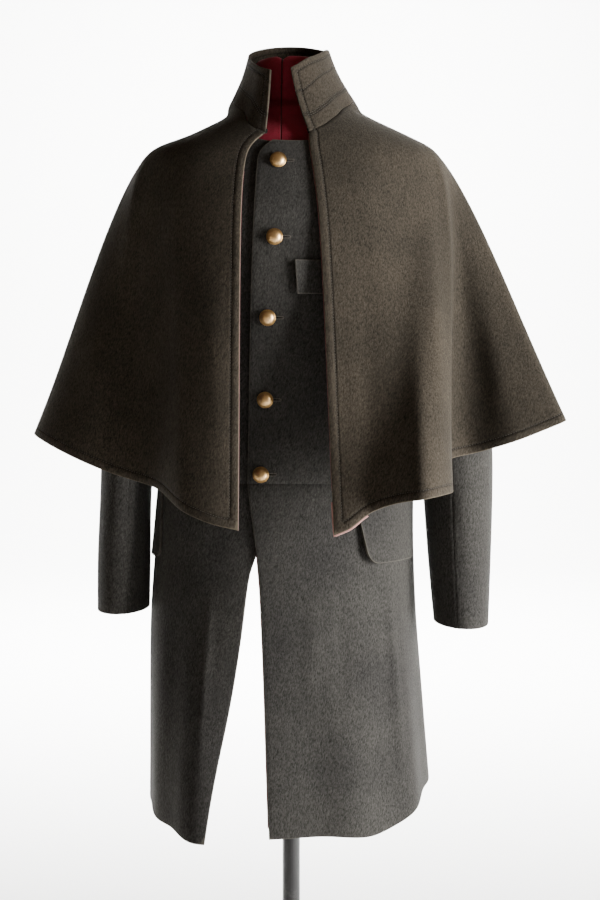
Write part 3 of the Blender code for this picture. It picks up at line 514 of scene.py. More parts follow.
def smooth_sheet(name, thickness, levels):
    """A solid's outer side as a smooth sheet of quads that runs through its points."""
    goal, triangles = outer_side(name, thickness)
    cage_faces = to_quads(triangles)
    cage = plain_mesh(name + "_cage", goal, cage_faces)
    out = np.empty(goal.size, dtype=np.float32)
    cage.data.vertices.foreach_get("normal", out)
    out = out.reshape(-1, 3).astype(float)
    on_rim, way, corners = rim_ways(goal, cage_faces)
    rounding = cage.modifiers.new("rounding", "SUBSURF")
    rounding.levels = rounding.render_levels = levels
    rounding.boundary_smooth = "PRESERVE_CORNERS"
    held = goal.copy()
    for _ in range(ROUNDS):
        smooth = evaluated_mesh(cage)
        miss = goal - coordinates(smooth)[: len(goal)]
        move = out * (miss * out).sum(axis=1)[:, None]
        move[on_rim] = (miss - way * (miss * way).sum(axis=1)[:, None])[on_rim]
        move[corners] = miss[corners]
        held += move
        cage.data.vertices.foreach_set("co", held.ravel())
        cage.data.update()
        bpy.data.meshes.remove(smooth)
    smooth = evaluated_mesh(cage)
    points, quads = coordinates(smooth), corner_points(smooth).reshape(-1, 4)
    bpy.data.objects.remove(cage)
    bpy.data.meshes.remove(smooth)
    rim = [tuple(side) for side, faces in by_side(quads).items() if len(faces) == 1]
    return Sheet(points, quads, np.array(rim))


def facing(points, quads):
    """The outward normal of a sheet at each of its points."""
    a, b, c, d = (points[quads[:, k]] for k in range(4))
    flat = np.cross(c - a, d - b)
    normal = np.zeros_like(points)
    for k in range(4):
        np.add.at(normal, quads[:, k], flat)
    return normal / np.linalg.norm(normal, axis=1, keepdims=True)


trial = smooth_sheet("collar", 0.004, 2)
print("collar:", len(trial.points), "points,", len(trial.quads), "quads,", len(trial.rim), "on its rim")

# %% [markdown]
# ## Cut pieces
#
# A table of the cut pieces keeps what each one is: its cloth's thickness, what it is sewn to, what
# it rests on, and the flat rectangle that it was cut from, with the cloth left inside the cut. The
# pieces that a seam joins matter for the finish, since a rim that meets another piece is a seam,
# and a rim that meets nothing is a finished edge, which is stitched and gets rubbed.
# %% Cut pieces
COAT, CAPE, COLLAR, FLAP, LINING = 0.0022, 0.0024, 0.0040, 0.0030, 0.0008
LEFT_SLEEVE = ["sleeve_top_left", "sleeve_under_left"]
RIGHT_SLEEVE = ["sleeve_top_right", "sleeve_under_right"]
FIELDS = "node width length area sewn_to rests_on thickness cloth held"
Cut = namedtuple("Cut", FIELDS, defaults=(COAT, coat_melton, "hung"))
CUTS = [
    Cut("front_left", 0.310, 0.560, 0.1350, ["back_left", "skirt_front_left", *LEFT_SLEEVE],
        ["form_torso"]),
    Cut("front_right", 0.270, 0.560, 0.1200, ["back_right", "skirt_front_right", *RIGHT_SLEEVE],
        ["form_torso"]),
    Cut("back_left", 0.240, 0.570, 0.1160, ["front_left", "back_right", "skirt_back_left", *LEFT_SLEEVE],
        ["form_torso"]),
    Cut("back_right", 0.240, 0.570, 0.1160, ["front_right", "back_left", "skirt_back_right", *RIGHT_SLEEVE],
        ["form_torso"]),
    Cut("skirt_front_left", 0.335, 0.475, 0.1370, ["front_left", "skirt_back_left"], ["front_left"]),
    Cut("skirt_front_right", 0.255, 0.480, 0.1010, ["front_right", "skirt_back_right"], ["front_right"]),
    Cut("skirt_back_left", 0.330, 0.455, 0.1370, ["back_left", "skirt_front_left"], ["back_left"]),
    Cut("skirt_back_right", 0.250, 0.490, 0.0970, ["back_right", "skirt_front_right"], ["back_right"]),
    Cut("sleeve_top_left", 0.215, 0.645, 0.1180, ["sleeve_under_left", "front_left", "back_left"],
        ["front_left", "back_left"]),
    Cut("sleeve_under_left", 0.155, 0.530, 0.0680, ["sleeve_top_left", "front_left", "back_left"],
        ["sleeve_top_left"]),
    Cut("sleeve_top_right", 0.210, 0.630, 0.1070, ["sleeve_under_right", "front_right", "back_right"],
        ["front_right", "back_right"]),
    Cut("sleeve_under_right", 0.145, 0.510, 0.0630, ["sleeve_top_right", "front_right", "back_right"],
        ["sleeve_top_right"]),
    Cut("cape_left", 0.920, 0.580, 0.3550, ["cape_right", "collar"],
        ["front_left", "back_left"], CAPE, cape_melton, "draped"),
    Cut("cape_right", 0.810, 0.585, 0.3290, ["cape_left", "collar"],
        ["front_right", "back_right"], CAPE, cape_melton, "draped"),
    Cut("collar", 0.475, 0.120, 0.0345, ["cape_left", "cape_right"],
        ["cape_left", "cape_right"], COLLAR, collar_melton, "folded"),
    Cut("breast_welt", 0.113, 0.045, 0.0048, [], ["front_left"], COAT, coat_melton, "laid"),
    Cut("flap_left", 0.118, 0.092, 0.0096, [], ["skirt_front_left"], FLAP),
    Cut("flap_right", 0.175, 0.094, 0.0141, [], ["skirt_front_right"], FLAP),
    Cut("cape_lining_left", 0.045, 0.480, 0.0163, [], ["cape_left"], LINING, lining_satin, "laid"),
    Cut("cape_lining_right", 0.085, 0.495, 0.0325, [], ["cape_right"], LINING, lining_satin, "laid"),
    Cut("skirt_lining_left", 0.090, 0.360, 0.0302, [], ["skirt_front_left"], LINING, lining_satin, "laid"),
]
print(len(CUTS), "cut pieces,", round(sum(cut.area for cut in CUTS), 2), "square metres")

# %% [markdown]
# ## Folds and creases
#
# The solids hold the main drapery. What is left is the small set of soft troughs and ridges that
# cloth of this weight takes: where a sleeve bends, where the cape is pulled, where the waist seam
# draws in, and the creases that storage has pressed into the skirts. They could be simulated, but
# creases of this age lie where they lie, so each is placed one by one: a short curve on the front or
# the back through three points, with its own half width and depth, uneven as on the real coat.
# The table gives them in millimetres.
# %% Folds and creases
Crease = namedtuple("Crease", "x1 z1 x2 z2 x3 z3 width depth")
FRONT, BACK = 1, -1
CREASES = {
    ("cape_left", FRONT): [
        (159, 1250, 147, 1075, 122, 880, 26, -5.5), (180, 1215, 187, 1060, 192, 885, 13, 4),
        (245, 1100, 252, 1020, 262, 935, 14, -3.5), (300, 1010, 318, 985, 335, 960, 12, 2),
        (75, 1290, 100, 1230, 108, 1120, 20, 1.6), (64, 1120, 70, 980, 74, 860, 14, -1.4),
    ],
    ("cape_right", FRONT): [
        (-150, 1215, -158, 1060, -152, 900, 22, -4), (-100, 1150, -94, 1010, -90, 860, 20, 3),
        (-262, 1080, -258, 1000, -262, 930, 16, 3.5), (-205, 1180, -212, 1080, -210, 960, 14, -2.5),
        (-120, 1290, -150, 1235, -165, 1150, 18, 1.5),
    ],
    ("cape_left", BACK): [
        (150, 1230, 160, 1080, 170, 900, 24, -4.5), (95, 1180, 100, 1020, 104, 890, 18, 3),
        (250, 1130, 270, 1040, 290, 930, 16, 3),
    ],
    ("cape_right", BACK): [
        (-140, 1210, -150, 1060, -160, 900, 24, 4), (-85, 1190, -92, 1030, -98, 885, 18, -3),
        (-240, 1120, -262, 1030, -285, 925, 16, -3.2),
    ],
    ("sleeve_top_left", FRONT): [
        (205, 905, 235, 890, 268, 900, 10, -2.2), (200, 860, 228, 838, 262, 842, 11, 1.8),
        (215, 760, 236, 735, 262, 738, 12, -1.4),
    ],
    ("sleeve_top_left", BACK): [
        (205, 920, 236, 930, 266, 915, 11, -2), (208, 800, 236, 815, 264, 806, 12, 1.5),
    ],
    ("sleeve_top_right", FRONT): [
        (-205, 915, -232, 900, -256, 912, 10, -2), (-203, 850, -226, 826, -255, 832, 12, 1.6),
        (-210, 765, -232, 750, -258, 756, 12, -1.5),
    ],
    ("sleeve_top_right", BACK): [
        (-206, 910, -232, 922, -256, 908, 11, -1.8), (-208, 790, -230, 800, -256, 792, 11, 1.4),
    ],
    ("front_left", FRONT): [
        (-8, 1194, 20, 1186, 52, 1192, 9, 1), (-18, 1090, 12, 1082, 46, 1078, 10, -1),
        (-24, 986, 10, 975, 50, 968, 10, 1.1), (20, 905, 60, 900, 110, 893, 10, -1.3),
    ],
    ("back_left", BACK): [(20, 905, 60, 915, 110, 905, 12, -1.4)],
    ("back_right", BACK): [(-20, 910, -65, 900, -115, 912, 12, -1.4)],
    ("skirt_front_left", FRONT): [
        (128, 750, 139, 620, 148, 486, 5.5, 2.6), (30, 730, 29, 660, 27, 585, 10, 1.6),
        (64, 745, 67, 650, 66, 560, 12, -1.8), (100, 700, 106, 600, 104, 500, 14, 1.4),
    ],
    ("skirt_front_right", FRONT): [
        (-105, 740, -112, 620, -120, 500, 6, 2.2), (-150, 730, -156, 640, -150, 540, 12, -2),
    ],
    ("skirt_back_left", BACK): [
        (95, 800, 102, 660, 112, 500, 6, 2.6), (40, 700, 44, 600, 50, 500, 12, -1.8),
        (150, 780, 156, 640, 150, 500, 12, 2),
    ],
    ("skirt_back_right", BACK): [
        (-120, 800, -128, 660, -136, 500, 6, 2.4), (-160, 720, -166, 620, -160, 520, 12, -1.8),
    ],
}
print(sum(len(rows) for rows in CREASES.values()), "creases")

# %% [markdown]
# ## Pressing a crease
#
# Each crease becomes a curve through its three points. A point of the cloth moves out or in by how
# near it lies to that curve, and less towards the curve's ends, so the crease fades out there. It
# also fades where the cloth turns away from the side that the crease is seen from.
# %% Pressing a crease
CREASE_POINTS = 25
CREASE_BLUNT = 0.7  # the lower, the blunter are a crease's ends
TURNED_AWAY = 2.5  # how soon a crease is whole where the cloth turns to its side


def in_metres(row):
    """A crease from its row of millimetres."""
    return Crease(*(number / 1000 for number in row))


def curve_through(crease):
    """Points along a crease, seen from the front: x and height."""
    t = np.linspace(0, 1, CREASE_POINTS)[:, None]
    start, end = np.array([crease.x1, crease.z1]), np.array([crease.x3, crease.z3])
    bend = 2 * np.array([crease.x2, crease.z2]) - (start + end) / 2
    return (1 - t) ** 2 * start + 2 * t * (1 - t) * bend + t**2 * end


def beside(line, seen):
    """How far points lie from a line, and at which share of its length."""
    away, along = np.full(len(seen), np.inf), np.zeros(len(seen))
    for number, (a, b) in enumerate(zip(line, line[1:])):
        step = b - a
        share = np.clip((seen - a) @ step / (step @ step), 0, 1)
        apart = np.linalg.norm(seen - a - share[:, None] * step, axis=1)
        nearer = apart < away
        away[nearer] = apart[nearer]
        along[nearer] = ((number + share) / (len(line) - 1))[nearer]
    return away, along


def creased(name, points, normal):
    """How far each point of a piece moves out for its creases."""
    out = np.zeros(len(points))
    for side in (FRONT, BACK):
        turned = np.clip(-side * normal[:, 1] * TURNED_AWAY, 0, 1)
        for row in CREASES.get((name, side), ()):
            crease = in_metres(row)
            away, along = beside(curve_through(crease), points[:, [0, 2]])
            taper = np.sin(np.pi * np.clip(along, 0.02, 0.98)) ** CREASE_BLUNT
            out += crease.depth * taper * turned * np.exp(-((away / crease.width) ** 2))
    return out


first = curve_through(in_metres(CREASES["cape_left", FRONT][0]))
first_length = np.linalg.norm(np.diff(first, axis=0), axis=1).sum()
print("the first crease of the cape is", round(float(first_length), 2), "m long")

# %% [markdown]
# ## Edges and seams
#
# A finished edge and a sewn seam look different, so every point of a sheet gets its distance from
# both. A rim that lies close to a piece it is sewn to is a seam, and the rest is edge. Points are
# laid closely along both, and a search tree finds the nearest one.
# %% Edges and seams
EDGE_STEP = 0.001  # between two samples of a rim
SEAM_REACH = 0.0042  # how near a rim lies to the piece that it is sewn to
SEAM_CLOSED = 0.0002  # how far each sewn rim is moved towards the other


def rim_samples(sheet, partners):
    """Close points along a sheet's finished edges, and along its sewn seams."""
    trees = [search_tree(*welded(partner)) for partner in partners]
    free, sewn = [], []
    for a, b in sheet.points[sheet.rim]:
        middle = Vector((a + b) / 2)
        meets = any(tree.find_nearest(middle, SEAM_REACH)[0] is not None for tree in trees)
        count = max(2, int(np.linalg.norm(b - a) / EDGE_STEP))
        spread = a + (b - a) * np.linspace(0, 1, count)[:, None]
        (sewn if meets else free).append(spread)
    return [np.concatenate(x) if x else np.zeros((0, 3)) for x in (free, sewn)]


def distance_to(samples, points):
    """How far points are from the nearest sample, at most FAR."""
    if not len(samples):
        return np.full(len(points), FAR)
    tree = KDTree(len(samples))
    for number, sample in enumerate(samples):
        tree.insert(sample, number)
    tree.balance()
    return np.array([min(tree.find(point)[2], FAR) for point in points])


def off_edge(points, quads, normal):
    """For each rim point of a sheet, the direction straight off its edge."""
    centres = points[quads].mean(axis=1)
    total, count = np.zeros_like(points), np.zeros(len(points))
    for k in range(4):
        np.add.at(total, quads[:, k], centres)
        np.add.at(count, quads[:, k], 1)
    away = points - total / count[:, None]
    away -= normal * (away * normal).sum(axis=1)[:, None]
    return away / np.maximum(np.linalg.norm(away, axis=1), 1e-9)[:, None]


def store(mesh, name, values):
    """Keeps a value for each point in a mesh."""
    mesh.attributes.new(name, "FLOAT", "POINT").data.foreach_set("value", values.astype(np.float32))


trial_rim = rim_samples(trial, ["cape_left", "cape_right"])
print("the collar's rim has", len(trial_rim[0]), "edge and", len(trial_rim[1]), "seam samples")

# %% [markdown]
# ## Making the cloth
#
# Each sheet now gets its creases, its distances for the finish, and its thickness: a solidify
# modifier grows the cloth inwards, as the solid does, and a small bevel rounds its cut edges, which
# on real melton are turned in and pressed. The sheet rides with its solid and stands for it.
# %% Making the cloth
EDGE_ROWS = {"cape_left": EDGE_ROW, "cape_right": EDGE_ROW, "collar": 0.0080}
SMALL_PIECES = ("collar", "breast_welt", "flap_left", "flap_right")
LINING_TURN = 0.0035  # how far a lining's rubbed fold lies outside its sheet
SETTLE = 0.012  # over which a crease runs out at a rim
ROUNDED_SHARE = 0.3  # of the thickness, at a cut edge
Made = namedtuple("Made", "points quads rim normal from_edge from_seam")
sheets = {}


def thicken(piece, thickness):
    """Grows a sheet inwards."""
    wall = piece.modifiers.new("thickness", "SOLIDIFY")
    wall.thickness = thickness
    wall.offset = -1


def round_edges(piece, thickness):
    """Rounds the cut edges of a thick sheet."""
    edge = piece.modifiers.new("rounded edges", "BEVEL")
    edge.width = thickness * ROUNDED_SHARE
    edge.segments = 2
    edge.limit_method = "ANGLE"
    edge.angle_limit = math.radians(60)


def make_cloth(cut):
    """A finished piece of cloth on its solid's shape."""
    sheet = smooth_sheet(cut.node, cut.thickness, 3 if cut.node in SMALL_PIECES else 2)
    normal = facing(sheet.points, sheet.quads)
    free, sewn = rim_samples(sheet, cut.sewn_to)
    away = distance_to(np.concatenate([free, sewn]), sheet.points)
    settle = np.clip(away / SETTLE, 0, 1)
    moved = sheet.points + normal * (creased(cut.node, sheet.points, normal) * settle)[:, None]
    sewn_rim = np.zeros(len(moved), bool)
    sewn_rim[sheet.rim] = True
    sewn_rim &= distance_to(sewn, sheet.points) < EDGE_STEP / 2
    moved[sewn_rim] += off_edge(sheet.points, sheet.quads, normal)[sewn_rim] * SEAM_CLOSED
    sheet = sheet._replace(points=moved)
    piece = plain_mesh("cloth_" + cut.node, sheet.points, sheet.quads)
    from_edge, from_seam = distance_to(free, sheet.points), distance_to(sewn, sheet.points)
    if cut.cloth is lining_satin:
        from_edge += LINING_TURN
    past_row = np.full(len(sheet.points), FAR)
    if cut.node in EDGE_ROWS:
        past_row = from_edge - EDGE_ROWS[cut.node]
    for distance, values in zip(DISTANCES, (from_edge, from_seam, past_row)):
        store(piece.data, distance, values)
    piece.data.materials.append(cut.cloth)
    thicken(piece, cut.thickness)
    round_edges(piece, cut.thickness)
    normal = facing(sheet.points, sheet.quads)
    sheets[cut.node] = Made(*sheet, normal, from_edge, from_seam)
    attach(piece, "root")
    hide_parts(cut.node)
    print(cut.node, len(sheet.points), "points,", len(free), "edge and", len(sewn), "seam samples")


for cut in CUTS:
    make_cloth(cut)

# %% [markdown]
# ## Brass buttons
#
# Coat buttons of this kind are stamped domes of brass, closed by a back with a shank. The dome is
# turned as a profile here: a rolled rim, a fine step and a high crown. The solid already says
# where each one sits, so its axis is read from the solid: it is the one direction in which a
# round thing is spread unlike the other two.
#
# The metal is old brass: bright gold where it is rubbed on the crown, browner near the rim, with a
# few soft scratches. Brass has the reflectance of its own colour, so the metal keeps the default
# IOR.
# %% Brass buttons
STAIN_WIDTH, MARK_WIDTH = 0.0045, 0.0012


def polished_brass():
    """Old stamped brass, bright on the crown and browner towards the rim."""
    made, tree, shader, place = new_material("worn polished brass")
    crown = add(tree, "ShaderNodeAttribute", {"attribute_name": "crown"}, {}).outputs["Fac"]
    stain = {"Vector": place, "Scale": 1 / STAIN_WIDTH, "Detail": 4.0, "Roughness": 0.6}
    stains = add(tree, "ShaderNodeTexNoise", {}, stain)
    mark = {"Vector": place, "Scale": 1 / MARK_WIDTH, "Detail": 2.0}
    marks = add(tree, "ShaderNodeTexNoise", {}, mark)
    bright = add(tree, "ShaderNodeMapRange", {}, {0: crown, 1: 0.15, 2: 0.85})
    colours = {0: bright, 6: linear("957240"), 7: linear("e6c08a")}
    metal = add(tree, "ShaderNodeMix", COLOUR_OVER, colours).outputs[2]
    dulled = add(tree, "ShaderNodeMapRange", {}, {0: stains, 1: 0.50, 2: 0.75, 3: 0.0, 4: 0.45})
    colours = {0: dulled, 6: metal, 7: linear("5f431f")}
    metal = add(tree, "ShaderNodeMix", COLOUR_OVER, colours).outputs[2]
    rough = add(tree, "ShaderNodeMapRange", {}, {0: stains, 3: 0.30, 4: 0.52})
    bump = relief(tree, [(marks, 0.00003)])
    feed(tree, shader, {"Base Color": metal, "Metallic": 1.0, "Roughness": rough, "Normal": bump})
    return made


brass = polished_brass()
print("made", brass.name)

# %% [markdown]
# ## Turning a button
#
# The profile runs from the middle of the shank's end, over the rim and up to the crown. It is given
# in tenths of a millimetre and is turned round the solid's axis in 40 steps. The height above the
# shank's end is kept too, because it tells the brass where the crown is.
# %% Turning a button
Turn = namedtuple("Turn", "radius height")
BUTTON_TENTHS = [
    (0, 0), (31, 0), (31, 11), (90, 12), (103, 14), (107, 19), (106, 24), (101, 28), (96, 27),
    (93, 29), (89, 37), (81, 49), (69, 61), (53, 71), (35, 77), (17, 80), (0, 81),
]
BUTTON_PROFILE = [Turn(radius / 1e4, height / 1e4) for radius, height in BUTTON_TENTHS]
BUTTON_HEIGHT = BUTTON_PROFILE[-1].height
BUTTON_SIDES = 40
FOOT_NEAR = 0.0002  # how near the lowest points of a solid lie to its foot


def seat_of(name):
    """Where a round solid stands and which way it faces."""
    points, _ = welded(name)
    middle = points.mean(axis=0)
    spread, ways = np.linalg.eigh(np.cov((points - middle).T))
    odd = 0 if spread[1] - spread[0] > spread[2] - spread[1] else 2
    axis = ways[:, odd] * np.sign(-ways[1, odd])
    along = (points - middle) @ axis
    lowest = np.abs(along - along.min()) < FOOT_NEAR
    return points[lowest].mean(axis=0), axis


def turned_points(profile, sides, foot, axis):
    """Points of a turned shape on its place, ring by ring, and their faces."""
    across = np.cross(axis, (0.0, 0.0, 1.0))
    across /= np.linalg.norm(across)
    up = np.cross(axis, across)
    angle = np.linspace(0, 2 * np.pi, sides, endpoint=False)
    round_it = np.cos(angle)[:, None] * across + np.sin(angle)[:, None] * up
    rings = [foot + axis * t.height + round_it * t.radius for t in profile[1:-1]]
    points = [foot + axis * profile[0].height, *np.concatenate(rings)]
    points.append(foot + axis * profile[-1].height)
    last, faces = len(points) - 1, []
    for i in range(sides):
        j = (i + 1) % sides
        faces.append((0, 1 + i, 1 + j))
        for ring in range(len(profile) - 3):
            low, high = 1 + ring * sides, 1 + (ring + 1) * sides
            faces.append((low + i, high + i, high + j, low + j))
        top = last - sides
        faces.append((last, top + j, top + i))
    return np.array(points), faces


def outward(piece):
    """Turns a closed mesh's faces outwards."""
    made = bmesh.new()
    made.from_mesh(piece.data)
    bmesh.ops.recalc_face_normals(made, faces=made.faces)
    made.to_mesh(piece.data)
    made.free()


def make_button(name):
    """A domed brass button in place of its solid, and where it stands."""
    foot, axis = seat_of(name)
    points, faces = turned_points(BUTTON_PROFILE, BUTTON_SIDES, foot, axis)
    piece = plain_mesh("brass_" + name, points, faces)
    outward(piece)
    store(piece.data, "crown", ((points - foot) @ axis) / BUTTON_HEIGHT)
    piece.data.materials.append(brass)
    piece.data.set_sharp_from_angle(angle=math.radians(50))
    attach(piece, "root")
    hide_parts(name)
    print(name, "at", np.round(foot, 4), "faces", np.round(axis, 2))
    return foot


button_feet = [make_button(f"button_{number}") for number in range(1, 6)]

# %% [markdown]
# ## Rows of stitches
#
# The cape's fronts and hem and the whole collar are topstitched, which keeps their turned edges
# flat. A row of stitches keeps one distance from the edge, so it is a contour line: every sheet
# already knows each point's distance, and the line is found where that distance has the wanted
# value, triangle by triangle. Drawing the rows by hand would take hundreds of points.
# %% Rows of stitches
def contour(made, distance, level):
    """The line on a sheet at one level of a distance: its points, normals and pairs."""
    points, normal, quads, values = made.points, made.normal, made.quads, getattr(made, distance)
    triangles = np.concatenate([quads[:, [0, 1, 2]], quads[:, [0, 2, 3]]])
    above = values > level
    crossed = triangles[above[triangles].any(axis=1) & ~above[triangles].all(axis=1)]
    places, outs, pairs, numbers = [], [], [], {}
    for triangle in crossed:
        ends = []
        for a, b in zip(triangle, np.roll(triangle, -1)):
            if above[a] == above[b]:
                continue
            key = (min(a, b), max(a, b))
            if key not in numbers:
                low, high = key
                share = (level - values[low]) / (values[high] - values[low])
                numbers[key] = len(places)
                places.append(points[low] + share * (points[high] - points[low]))
                outs.append(normal[low] + share * (normal[high] - normal[low]))
            ends.append(numbers[key])
        pairs.append(ends)
    return np.array(places), np.array(outs), pairs


row_points, _, row_pairs = contour(sheets["cape_left"], "from_edge", EDGE_ROW)
row_ends = row_points[np.array(row_pairs)]
row_length = np.linalg.norm(row_ends[:, 0] - row_ends[:, 1], axis=1).sum()
print("the left half of the cape has", round(row_length, 2), "m of topstitching")

# %% [markdown]
# ## One stitch, many times
#
# Geometry Nodes then lay the thread: the line becomes a curve, the curve is divided into steps of
# one stitch, and a small rounded bead stands for the thread on the surface, turned along the line
# and flat on the cloth. A bead of 20 triangles is enough for something 2.6 mm long. The thread is
# a dark waxed linen that has faded with the wool, so it shows as small glints beside a soft dip.
# %% One stitch, many times
ROW_STEP, ROW_BEAD = 0.0036, (0.0026, 0.0006, 0.0005)


def new_tree(name, inputs):
    """A node group that makes geometry, and the outputs that carry its named inputs."""
    tree = bpy.data.node_groups.new(name, "GeometryNodeTree")
    tree.is_modifier = True
    for label, kind in inputs.items():
        tree.interface.new_socket(label, in_out="INPUT", socket_type=kind)
    tree.interface.new_socket("Made", in_out="OUTPUT", socket_type="NodeSocketGeometry")
    return tree, add(tree, "NodeGroupInput", {}, {}).outputs


def finish_tree(tree, geometry, material):
    """The end of a node group: real, smooth geometry of one material."""
    solid = add(tree, "GeometryNodeRealizeInstances", {}, {"Geometry": geometry})
    rounded = add(tree, "GeometryNodeSetShadeSmooth", {}, {"Geometry": solid})
    finish = {"Geometry": rounded, "Material": material}
    add(tree, "NodeGroupOutput", {}, {0: add(tree, "GeometryNodeSetMaterial", {}, finish)})


def stitch_tree():
    """Lays beads of thread along a line."""
    inputs = {"Line": "NodeSocketGeometry", "Stitch step": "NodeSocketFloat"}
    inputs |= {"Bead size": "NodeSocketVector", "Thread": "NodeSocketMaterial"}
    tree, given = new_tree("row of stitches", inputs)
    out = {"data_type": "FLOAT_VECTOR"}
    normal = add(tree, "GeometryNodeInputNamedAttribute", out, {"Name": "outward"}).outputs[0]
    along = add(tree, "GeometryNodeInputTangent", {}, {})
    flat = add(tree, "FunctionNodeAlignRotationToVector", {"axis": "Z"}, {"Vector": normal})
    about = {"axis": "X", "pivot_axis": "Z"}
    rotation = {"Rotation": flat, "Vector": along}
    turned = add(tree, "FunctionNodeAlignRotationToVector", about, rotation)
    curve = add(tree, "GeometryNodeMeshToCurve", {}, {"Mesh": given["Line"]})
    steps = {"Curve": curve, "Length": given["Stitch step"]}
    divided = add(tree, "GeometryNodeResampleCurve", {"mode": "LENGTH"}, steps)
    bead = add(tree, "GeometryNodeMeshIcoSphere", {}, {"Radius": 0.5, "Subdivisions": 1})
    between = {0: (0.82, 0.88, 0.85), 1: (1.10, 1.08, 1.10), "Seed": 7}
    uneven = add(tree, "FunctionNodeRandomValue", out, between)
    size = add(tree, "ShaderNodeVectorMath", TIMES, {0: given["Bead size"], 1: uneven})
    beads = {"Points": divided, "Instance": bead, "Rotation": turned, "Scale": size}
    laid = add(tree, "GeometryNodeInstanceOnPoints", {}, beads)
    finish_tree(tree, laid, given["Thread"])
    return tree


stitching = stitch_tree()
print("laying a stitch takes", len(stitching.nodes), "nodes")

# %% [markdown]
# ## Rows on the cape and the collar
#
# Each row is a line of its own that knows the cloth's outward side, so the beads can lie flat. The
# node group works on it as a modifier, whose inputs are set by their identifiers. The result is
# kept as a plain mesh and the line is taken away.
# %% Rows on the cape and the collar
TWIST_WIDTH = 0.0008


def line_object(name, points, normals, pairs, swell=None):
    """A line as a mesh of edges that knows which way is out, and how much it swells."""
    mesh = bpy.data.meshes.new(name)
    mesh.from_pydata(np.asarray(points).tolist(), [tuple(int(k) for k in p) for p in pairs], [])
    kept = mesh.attributes.new("outward", "FLOAT_VECTOR", "POINT")
    kept.data.foreach_set("vector", np.asarray(normals, dtype=np.float32).ravel())
    if swell is not None:
        store(mesh, "radius", np.asarray(swell))
    return link(bpy.data.objects.new(name, mesh))


def grown(name, line, tree, values):
    """A plain piece grown along a line by a node group, which is then taken off."""
    grower = line.modifiers.new("grown along the line", "NODES")
    grower.node_group = tree
    identifiers = {socket.name: socket.identifier for socket in tree.interface.items_tree}
    for label, value in values.items():
        grower[identifiers[label]] = value
    mesh = evaluated_mesh(line)
    mesh.name = name
    bpy.data.objects.remove(line)
    piece = link(bpy.data.objects.new(name, mesh))
    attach(piece, "root")
    return piece


linen, tree, shader, place = new_material("waxed linen thread")
twist = {"Vector": place, "Scale": 1 / TWIST_WIDTH, "Detail": 2.0}
twists = add(tree, "ShaderNodeTexNoise", {}, twist)
tones = {0: twists, 6: linear("2b2722"), 7: linear("4f483e")}
tone = add(tree, "ShaderNodeMix", COLOUR_OVER, tones).outputs[2]
bump = relief(tree, [(twists, 0.0001)])
feed(tree, shader, {"Base Color": tone, "Normal": bump, "Roughness": 0.6, "IOR": 1.53})

rows_of_stitches = [(node, "from_edge", inset) for node, inset in EDGE_ROWS.items()]
rows_of_stitches += [("collar", "from_seam", height) for height in COLLAR_ROWS]
row_inputs = {"Stitch step": ROW_STEP, "Bead size": ROW_BEAD, "Thread": linen}
for number, (node, distance, level) in enumerate(rows_of_stitches, 1):
    line = line_object("line", *contour(sheets[node], distance, level))
    row = grown(f"stitches_{number}_{node}", line, stitching, row_inputs)
    print(row.name, len(row.data.polygons), "triangles")

# %% [markdown]
# ## Buttonholes
#
# A worked buttonhole is a slit whose two lips are covered with close stitches across the edge,
# round its end in a fan. The button sits at one end of it, so only the far end shows beside the
# button. The same node group does this: a long loop round the slit, a short step and beads that
# lie across the line instead of along it. The loop is laid flat in front of the cloth and dropped
# onto it. The slit itself is a near-black lens of wool between the lips, as painted shade.
# %% Buttonholes
HOLE_START, HOLE_END, HOLE_HALF = 0.004, 0.0205, 0.0016  # from the button's middle, and half its width
HOLE_STEP, HOLE_BEAD = 0.0009, (0.0007, 0.0021, 0.0006)
SLIT_HALF = HOLE_HALF * 0.45
SLIT_RAISED, SLIT_TOP, SLIT_DEEP = 0.00005, 0.0002, 0.0006  # its rim, its middle, its underside


def onto_sheet(made, places):
    """Points dropped onto a sheet, and its normals there."""
    tree = search_tree(made.points, made.quads)
    hits = [tree.find_nearest(Vector(place)) for place in places]
    return np.array([hit[0] for hit in hits]), np.array([hit[1] for hit in hits])


def hole_loop(foot, half):
    """A long loop beside a button, seen from the front."""
    turn = np.radians(np.linspace(-90, 90, 9))
    straight = HOLE_END - half - HOLE_START
    right = [(HOLE_END - half + half * math.cos(t), half * math.sin(t)) for t in turn]
    left = [(HOLE_START + half - half * math.cos(t), -half * math.sin(t)) for t in turn]
    low = [(HOLE_START + half + straight * k / 8, -half) for k in range(1, 7)]
    high = [(HOLE_END - half - straight * k / 8, half) for k in range(1, 7)]
    loop = low + right + high + left
    return [foot + np.array((x, 0.0, z)) for x, z in loop]


def far_from_rims(mesh):
    """Tells the wool's finish that a mesh has no edge, seam or row."""
    for distance in DISTANCES:
        store(mesh, distance, np.full(len(mesh.vertices), FAR))


